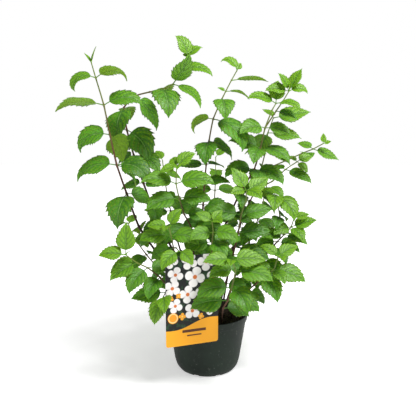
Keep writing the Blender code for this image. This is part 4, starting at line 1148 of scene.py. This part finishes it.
def pot_rings():
    """The pot's outline turned about Z: foot, heel, wall, collar and lip, then back down the inside."""
    collar_foot = POT_HEIGHT - COLLAR_HEIGHT
    profile = eased_profile((
        (0.001, 0, 0),
        (FOOT_RADIUS, 0, 0.003),
        (HEEL_RADIUS, HEEL_HEIGHT, 0.003),
        (CORNER_RADIUS, CORNER_HEIGHT, 0.005),
        (WALL_TOP_RADIUS, collar_foot, 0.0006),
        (RIM_RADIUS - COLLAR_FLARE, collar_foot + EDGE, 0.0006),
        (RIM_RADIUS, POT_HEIGHT - EDGE, 0.0004),
        (RIM_RADIUS - EDGE, POT_HEIGHT, 0.0004),
        (RIM_RADIUS - WALL, POT_HEIGHT, 0.0004),
        (WALL_TOP_RADIUS - WALL, collar_foot - 0.002, 0.002),
        (CORNER_RADIUS - WALL, CORNER_HEIGHT, 0.003),
        (HEEL_RADIUS - WALL, HEEL_HEIGHT + EDGE, 0.001),
        (FOOT_RADIUS - 0.001, WALL, 0.001),
        (0.001, WALL, 0),
    ))
    return turned_rings(profile, POT_SIDES)


def pot_finish():
    """Dark green plastic in soft clouds of tone, with pale scuffs and a fine grain."""
    made, tree, shader = new_finish("pot_plastic", Specular_IOR_Level=0.2)
    place = object_place(tree)
    cloud = noise(tree, place, 14, 4)
    base = blend(tree, ramp(tree, cloud, 0.3, 0.7), colour(18, 28, 21), colour(34, 45, 37))
    scuff = ramp(tree, noise(tree, place, 130, 6, 0.7), 0.58, 0.72)
    base = blend(tree, maths(tree, "MULTIPLY", scuff, 0.22), base, colour(128, 134, 124))
    tree.links.new(base, shader.inputs["Base Color"])
    feed(tree, shader.inputs["Roughness"], ramp(tree, cloud, 0.3, 0.7, 0.55, 0.68))
    bump(tree, shader, noise(tree, place, 700, 3), 0.25, 0.0003)
    return made


def notch_blocks():
    """Boxes across the heel: a square ring carried outwards from inside the foot, at equal turns about Z."""
    blocks = Skins()
    half_wide, half_long = NOTCH_WIDTH / 2, NOTCH_LENGTH / 2
    square = np.array(((-1, -1), (1, -1), (1, 1), (-1, 1)))
    for number in range(NOTCH_COUNT):
        turn = math.tau * (number + 0.5) / NOTCH_COUNT
        out, side = outward_and_aside(turn)
        face = side * square[:, :1] * half_wide + np.array((0, 0, NOTCH_HEIGHT)) * square[:, 1:]
        blocks.add(np.stack([out * (HEEL_RADIUS + end) + face for end in (-half_long, half_long)]))
    return blocks


def cut_out(piece, blocks):
    """Takes the blocks from the piece with a Boolean modifier and keeps the result as the piece's mesh."""
    mesh = bpy.data.meshes.new("notch_tool")
    mesh.from_pydata(np.concatenate(blocks.points), [], blocks.faces)
    tool = bpy.data.objects.new("notch_tool", mesh)
    bpy.context.scene.collection.objects.link(tool)
    cut = piece.modifiers.new("notches", "BOOLEAN")
    cut.operation = "DIFFERENCE"
    cut.object = tool
    bpy.context.view_layer.update()
    carved_piece = piece.evaluated_get(bpy.context.evaluated_depsgraph_get())
    carved = bpy.data.meshes.new_from_object(carved_piece)
    piece.modifiers.clear()
    piece.data = carved
    bpy.data.objects.remove(tool)


pot = Skins()
pot.add(pot_rings())
pot_shell = pot.piece("pot_shell", pot_finish(), "pot")
cut_out(pot_shell, notch_blocks())
pot_shell.data.set_sharp_from_angle(angle=math.radians(50))
print("pot shell faces after the notches:", len(pot_shell.data.polygons))

# %% [markdown]
# ## Potting mix
# The mix is a mound of dark crumbs. A polar grid of waves gives its lumps, and a few hundred small bits lie
# on it, each a low stack of four six-sided rings that is squashed and turned.

# %% Soil
SOIL_FINISH_SCALE = 260
GAP = 0.0003
SOIL_MOUND = 0.004
SOIL_LUMP = 0.0018
SOIL_RINGS = 40
SOIL_SIDES = 110
CRUMBS = 260


def soil_top(x, y):
    """The soil's surface: a low mound that falls to the wall, with lumps from a few crossing waves."""
    reach = np.minimum(np.hypot(x, y) / RIM_RADIUS, 1)
    lumps = np.sin(190 * x + 1.3) * np.cos(170 * y) + 0.6 * np.sin(310 * y + 240 * x)
    fine = 0.35 * np.sin(900 * x + 400 * y) * np.cos(760 * y - 210 * x)
    fine = fine + 0.25 * np.sin(1500 * y) * np.sin(1310 * x)
    rough = SOIL_LUMP * (lumps + fine * (1 - reach**8)) * (1 - reach**4)
    return POT_HEIGHT - SOIL_DROP + SOIL_MOUND * (0.5 - reach**2) + rough


def soil_rings():
    """The buried side up to the surface's edge, then rings inwards over the top."""
    edge_level = POT_HEIGHT - COLLAR_HEIGHT - 0.002
    reach = WALL_TOP_RADIUS - WALL - GAP * 2
    side = np.array((
        (0.001, WALL + GAP),
        (FOOT_RADIUS - 0.0015, WALL + GAP),
        (HEEL_RADIUS - WALL - GAP * 2, HEEL_HEIGHT + 0.0012),
        (CORNER_RADIUS - WALL - GAP * 2, CORNER_HEIGHT),
        (reach, edge_level),
    ))
    inwards = np.linspace(reach * 0.99, 0.0005, SOIL_RINGS)
    top = np.stack([inwards, np.full(SOIL_RINGS, edge_level + 0.003)], -1)
    rings = turned_rings(np.concatenate([side, top]), SOIL_SIDES)
    rings[len(side):, :, 2] = soil_top(rings[len(side):, :, 0], rings[len(side):, :, 1])
    return rings


def soil_finish():
    """Near-black and brown grains with a few pale fibres."""
    made, tree, shader = new_finish("potting_mix", Specular_IOR_Level=0.25)
    place = object_place(tree)
    grain = noise(tree, place, SOIL_FINISH_SCALE, 6, 0.7)
    base = blend(tree, ramp(tree, grain, 0.35, 0.65), colour(24, 19, 15), colour(58, 45, 34))
    base = blend(tree, ramp(tree, noise(tree, place, 900, 3), 0.6, 0.7, 0, 0.5), base, colour(112, 96, 78))
    tree.links.new(base, shader.inputs["Base Color"])
    shader.inputs["Roughness"].default_value = 0.95
    bump(tree, shader, grain, 1.0, 0.0015)
    return made


def crumb_skin(centre, size, turn):
    """A crumb of potting mix: four six-sided rings over each other, squashed and turned."""
    level = np.linspace(-1, 1, 4)
    radius = np.array((0.55, 1.0, 0.95, 0.5))
    around = np.arange(6) / 6 * math.tau + turn
    ring = np.stack([np.cos(around), np.sin(around) * 0.7, 0 * around], -1)
    return centre + size * (radius[:, None, None] * ring[None] + level[:, None, None] * 0.55 * UP)


SOIL_FINISH = soil_finish()
mix = Skins()
mix.add(soil_rings())
for _crumb in range(CRUMBS):
    distance = math.sqrt(random.random()) * 0.080
    around = random.random() * math.tau
    x, y = distance * math.cos(around), distance * math.sin(around)
    size = random.uniform(0.0009, 0.0026)
    mix.add(crumb_skin(np.array((x, y, soil_top(x, y) + size * 0.1)), size, random.random() * math.tau))
mix.piece("soil_mix", SOIL_FINISH, "soil", crease=math.radians(40))

# %% [markdown]
# ## The picture card
# A thin plastic card hangs on the rim by a hook on its back. Its front is printed: white four-petalled
# blossoms on a dark ground over an orange band. The print is plain shapes computed from the card's own
# coordinates, in a layout of its own.

# %% Card
TAG_WIDTH = 0.115
TAG_BOTTOM = 0.100
TAG_TOP = 0.293
TAG_THICKNESS = 0.001
TAG_CORNER = 0.005
TAG_YAW = math.radians(20)
TAG_CENTRE = (-0.031, -0.1185)
HOOK_ACROSS = 0.040
HOOK_WIDTH = 0.020
HOOK_REACH = 0.0215
HOOK_ROOT = 0.018
HOOK_DROP = 0.0065


TAG_RIGHT, TAG_BACK = outward_and_aside(TAG_YAW)


def on_card(across, height, out):
    """World places for points across from the card's middle line, at a height and out from its front."""
    centre = np.array((*TAG_CENTRE, 0.0))
    return centre + across[..., None] * TAG_RIGHT + height[..., None] * UP - out[..., None] * TAG_BACK


def rounded_box(half_across, low, high, corner, steps=8):
    """An outline of (x, y) with a quarter circle at each corner."""
    quarters = []
    corners = ((half_across, high), (-half_across, high), (-half_across, low), (half_across, low))
    for number, (x, y) in enumerate(corners):
        centre = (x - math.copysign(corner, x), y + (corner if y == low else -corner))
        turn = np.radians(np.linspace(0, 90, steps)) + number * math.pi / 2
        quarters.append(centre + corner * np.stack([np.cos(turn), np.sin(turn)], -1))
    return np.concatenate(quarters)


def card_rings():
    """The card's outline as rings from inside the back face, over its edge, to inside the front face."""
    outline = rounded_box(TAG_WIDTH / 2, TAG_BOTTOM, TAG_TOP, TAG_CORNER)
    middle = outline.mean(0)
    shrink = np.array((0.9, 0.996, 1.0, 1.0, 0.996, 0.9))[:, None, None]
    half = TAG_THICKNESS / 2
    out = half * np.array((-1, -1, -0.6, 0.6, 1, 1))[:, None] + np.zeros(len(outline))
    flat = middle + (outline[None] - middle) * shrink
    return on_card(flat[..., 0], flat[..., 1], out)


def hook_rings():
    """A strap from the card's back over the rim: its side outline, carried across its width."""
    sunk, behind = TAG_THICKNESS / 4, TAG_THICKNESS * 1.5
    under, over = GAP, GAP + TAG_THICKNESS
    inner = HOOK_REACH - TAG_THICKNESS
    back = np.array((sunk, inner, inner, HOOK_REACH, HOOK_REACH, behind, behind, sunk))
    high = np.array((under, under, -HOOK_DROP, -HOOK_DROP, over, over, HOOK_ROOT, HOOK_ROOT)) + POT_HEIGHT
    across = HOOK_ACROSS + np.array((-0.5, 0.5))[:, None] * HOOK_WIDTH + np.zeros(len(back))
    return on_card(across, high[None] + 0 * across, -back[None] + 0 * across)


def length_of(tree, across, up):
    """The length of the line from the origin to a point: the root of the sum of squares."""
    return maths(tree, "SQRT", maths(tree, "MULTIPLY_ADD", across, across, maths(tree, "MULTIPLY", up, up)))


def blossom_group():
    """A node group for a four-petalled blossom: masks of its petals, its eye and the shade between."""
    group = bpy.data.node_groups.new("blossom", "ShaderNodeTree")
    for name in ("X", "Y", "Centre X", "Centre Y", "Size", "Turn"):
        group.interface.new_socket(name=name, in_out="INPUT", socket_type="NodeSocketFloat")
    for name in ("Petals", "Eye", "Shade"):
        group.interface.new_socket(name=name, in_out="OUTPUT", socket_type="NodeSocketFloat")
    given = group.nodes.new("NodeGroupInput").outputs
    made = group.nodes.new("NodeGroupOutput").inputs
    across, up = (
        maths(group, "DIVIDE", maths(group, "SUBTRACT", given[axis], given["Centre " + axis]), given["Size"])
        for axis in "XY"
    )
    far = length_of(group, across, up)
    angle = maths(group, "ADD", maths(group, "ARCTAN2", up, across), given["Turn"])
    lobe = maths(group, "ABSOLUTE", maths(group, "COSINE", maths(group, "MULTIPLY", angle, 2)))
    edge = maths(group, "MULTIPLY_ADD", maths(group, "POWER", lobe, 0.55), 0.52, 0.48)
    feed(group, made["Petals"], ramp(group, maths(group, "SUBTRACT", far, edge), 0.03, -0.03))
    feed(group, made["Eye"], ramp(group, far, 0.25, 0.17))
    between = ramp(group, lobe, 0.55, 0.05)
    feed(group, made["Shade"], maths(group, "MULTIPLY", between, ramp(group, far, 0.1, 0.5)))
    return group


BLOSSOM = blossom_group()
BLOSSOMS = (
    (-0.046, 0.184, 0.016, 0.2),
    (-0.006, 0.180, 0.018, 0.5),
    (-0.036, 0.154, 0.017, 0.35),
    (0.031, 0.177, 0.020, 0.1),
    (0.006, 0.146, 0.022, 0.3),
    (0.047, 0.141, 0.017, 0.7),
    (-0.043, 0.126, 0.018, 0.6),
    (-0.010, 0.110, 0.019, 0.15),
    (0.026, 0.107, 0.021, 0.5),
    (-0.037, 0.088, 0.016, 0.4),
    (0.000, 0.074, 0.018, 0.75),
    (0.041, 0.076, 0.016, 0.3),
)
FLORETS = (
    (-0.022, 0.064, 0.008, 0.1),
    (-0.046, 0.104, 0.006, 0.4),
    (-0.030, 0.109, 0.006, 0.8),
    (0.019, 0.060, 0.007, 0.3),
)
DISC_X, DISC_Y, DISC_RADIUS = -0.042, 0.062, 0.0115
PLASTIC = colour(236, 234, 228)
BAND_HEIGHT = 0.0455
BAND_SLOPE = 0.17
BAND_WAVE = 0.0045
BARS = ((0.004, 0.031, 0.026, 0.003), (0.004, 0.021, 0.016, 0.0015))


def within(tree, value, middle, half):
    """1 where a value is less than half away from the middle, with an edge soft over a tenth of a mm."""
    away = maths(tree, "ABSOLUTE", maths(tree, "SUBTRACT", value, middle))
    return ramp(tree, away, half + 0.0001, half - 0.0001)


def printed_blossoms(tree, x, y, base, places, petal, eye):
    """The base colour with a blossom at each (x, y, size, turn)."""
    for numbers in places:
        node = tree.nodes.new("ShaderNodeGroup")
        node.node_tree = BLOSSOM
        for socket, value in zip(node.inputs, (x, y, *numbers)):
            feed(tree, socket, value)
        shade = maths(tree, "MULTIPLY", node.outputs["Shade"], 0.45)
        face = blend(tree, shade, petal, colour(150, 140, 150))
        base = blend(tree, node.outputs["Petals"], base, face)
        base = blend(tree, node.outputs["Eye"], base, eye)
    return base


def card_finish():
    """The print: blossoms and a ringed disc on a dark ground, then a curved band with two plain bars."""
    made, tree, shader = new_finish("card_print", Specular_IOR_Level=0.3, Roughness=0.5)
    x, y = attribute(tree, "card_x"), attribute(tree, "card_y")
    leafy = noise(tree, object_place(tree), 90, 3)
    ground = blend(tree, ramp(tree, leafy, 0.52, 0.62), colour(12, 18, 14), colour(30, 62, 34))
    white, orange, brown = colour(240, 236, 234), colour(240, 164, 30), colour(206, 112, 52)
    base = printed_blossoms(tree, x, y, ground, BLOSSOMS, white, brown)
    base = printed_blossoms(tree, x, y, base, FLORETS, orange, colour(250, 206, 90))
    far = length_of(tree, maths(tree, "SUBTRACT", x, DISC_X), maths(tree, "SUBTRACT", y, DISC_Y))
    base = blend(tree, within(tree, far, 0, DISC_RADIUS), base, colour(238, 152, 34))
    base = blend(tree, within(tree, far, DISC_RADIUS * 0.8, 0.0008), base, colour(252, 226, 160))
    swing = maths(tree, "SINE", maths(tree, "MULTIPLY", x, math.tau / TAG_WIDTH))
    slope = maths(tree, "SUBTRACT", y, maths(tree, "MULTIPLY", x, BAND_SLOPE))
    level = maths(tree, "SUBTRACT", slope, maths(tree, "MULTIPLY", swing, BAND_WAVE))
    band = ramp(tree, level, BAND_HEIGHT + 0.0003, BAND_HEIGHT - 0.0003)
    base = blend(tree, band, base, colour(242, 166, 26))
    for middle_x, middle_y, half_x, half_y in BARS:
        bar = maths(tree, "MULTIPLY", within(tree, x, middle_x, half_x), within(tree, y, middle_y, half_y))
        base = blend(tree, bar, base, colour(86, 48, 14))
    seen = attribute(tree, "card_front")
    feed(tree, shader.inputs["Base Color"], blend(tree, ramp(tree, seen, -0.1, 0.1), PLASTIC, base))
    return made


def hook_finish():
    """The hook is the card's own plastic: off-white and slightly glossy, with faint marks."""
    made, tree, shader = new_finish("card_plastic", Specular_IOR_Level=0.4)
    marks = noise(tree, object_place(tree), 220, 4)
    base = blend(tree, ramp(tree, marks, 0.5, 0.7), PLASTIC, colour(214, 211, 202))
    feed(tree, shader.inputs["Base Color"], base)
    feed(tree, shader.inputs["Roughness"], ramp(tree, marks, 0.4, 0.7, 0.4, 0.55))
    return made


card = Skins()
rings = card_rings()
flat = rings - np.array((*TAG_CENTRE, TAG_BOTTOM))
card.add(rings, card_x=flat @ TAG_RIGHT, card_y=flat[..., 2], card_front=np.sign(flat @ -TAG_BACK))
card.piece("card", card_finish(), "tag", crease=math.radians(25))
hook = Skins()
hook.add(hook_rings())
hook.piece("card_hook", hook_finish(), "tag", crease=math.radians(25))

# %% [markdown]
# ## Floor and light
# The photo is cut out on white, lit softly from above and the front. A pale floor, a bright world and two
# broad lamps give the same even light with a little shape.

# %% Floor and light
FLOOR_HALF = 6.0
FLOOR_GLOW = 1.0
SKY_LIGHT = 0.22


def floor_piece():
    """A pale square that also glows a little, more so further from the pot, so that it fades to white."""
    corners = np.array(((-1, -1, 0), (1, -1, 0), (1, 1, 0), (-1, 1, 0))) * FLOOR_HALF
    mesh = bpy.data.meshes.new("floor")
    mesh.from_pydata(corners.tolist(), [], [(0, 1, 2, 3)])
    made, tree, shader = new_finish("floor", Roughness=0.9, Emission_Strength=FLOOR_GLOW)
    shader.inputs["Base Color"].default_value = (0.85, 0.85, 0.85, 1)
    away = tree.nodes.new("ShaderNodeVectorMath")
    away.operation = "LENGTH"
    tree.links.new(object_place(tree), away.inputs[0])
    tree.links.new(ramp(tree, away.outputs["Value"], 0.12, 0.9, 0.5, 1.0), shader.inputs["Emission Color"])
    mesh.materials.append(made)
    floor = bpy.data.objects.new("floor", mesh)
    bpy.context.scene.collection.objects.link(floor)
    floor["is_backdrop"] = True


def lamp(name, place, target, size, power):
    """A square area lamp in metres and watts, turned to face its target."""
    data = bpy.data.lights.new(name, "AREA")
    data.size = size
    data.energy = power
    obj = bpy.data.objects.new(name, data)
    obj.location = place
    away = np.array(place) - np.array(target)
    flat_distance = math.hypot(away[0], away[1])
    obj.rotation_euler = (math.atan2(flat_distance, away[2]), 0, math.atan2(away[1], away[0]) + math.pi / 2)
    bpy.context.scene.collection.objects.link(obj)


floor_piece()
lamp("key", (0.9, -0.9, 2.2), (0, 0, 0.35), 0.8, 59)
lamp("fill", (-1.5, -1.3, 1.0), (0, 0, 0.3), 1.6, 5)
world = bpy.data.worlds.new("studio")
world.use_nodes = True
world.node_tree.nodes["Background"].inputs["Color"].default_value = (1, 1, 1, 1)
seen = world.node_tree.nodes.new("ShaderNodeLightPath").outputs["Is Camera Ray"]
sky = maths(world.node_tree, "MULTIPLY_ADD", seen, 1 - SKY_LIGHT, SKY_LIGHT)
feed(world.node_tree, world.node_tree.nodes["Background"].inputs["Strength"], sky)
bpy.context.scene.world = world
bpy.context.scene.view_settings.view_transform = "Standard"
print("lamps:", len(bpy.data.lights))

# %% [markdown]
# ## Size and finish
# Both boxes, the CAD model's and the dressed plant's, are gathered so that they can be compared.

# %% Size and finish
size = {"cad": CAD_BOX, "visual": [list(corner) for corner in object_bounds()]}
print("visual box:", size["visual"])
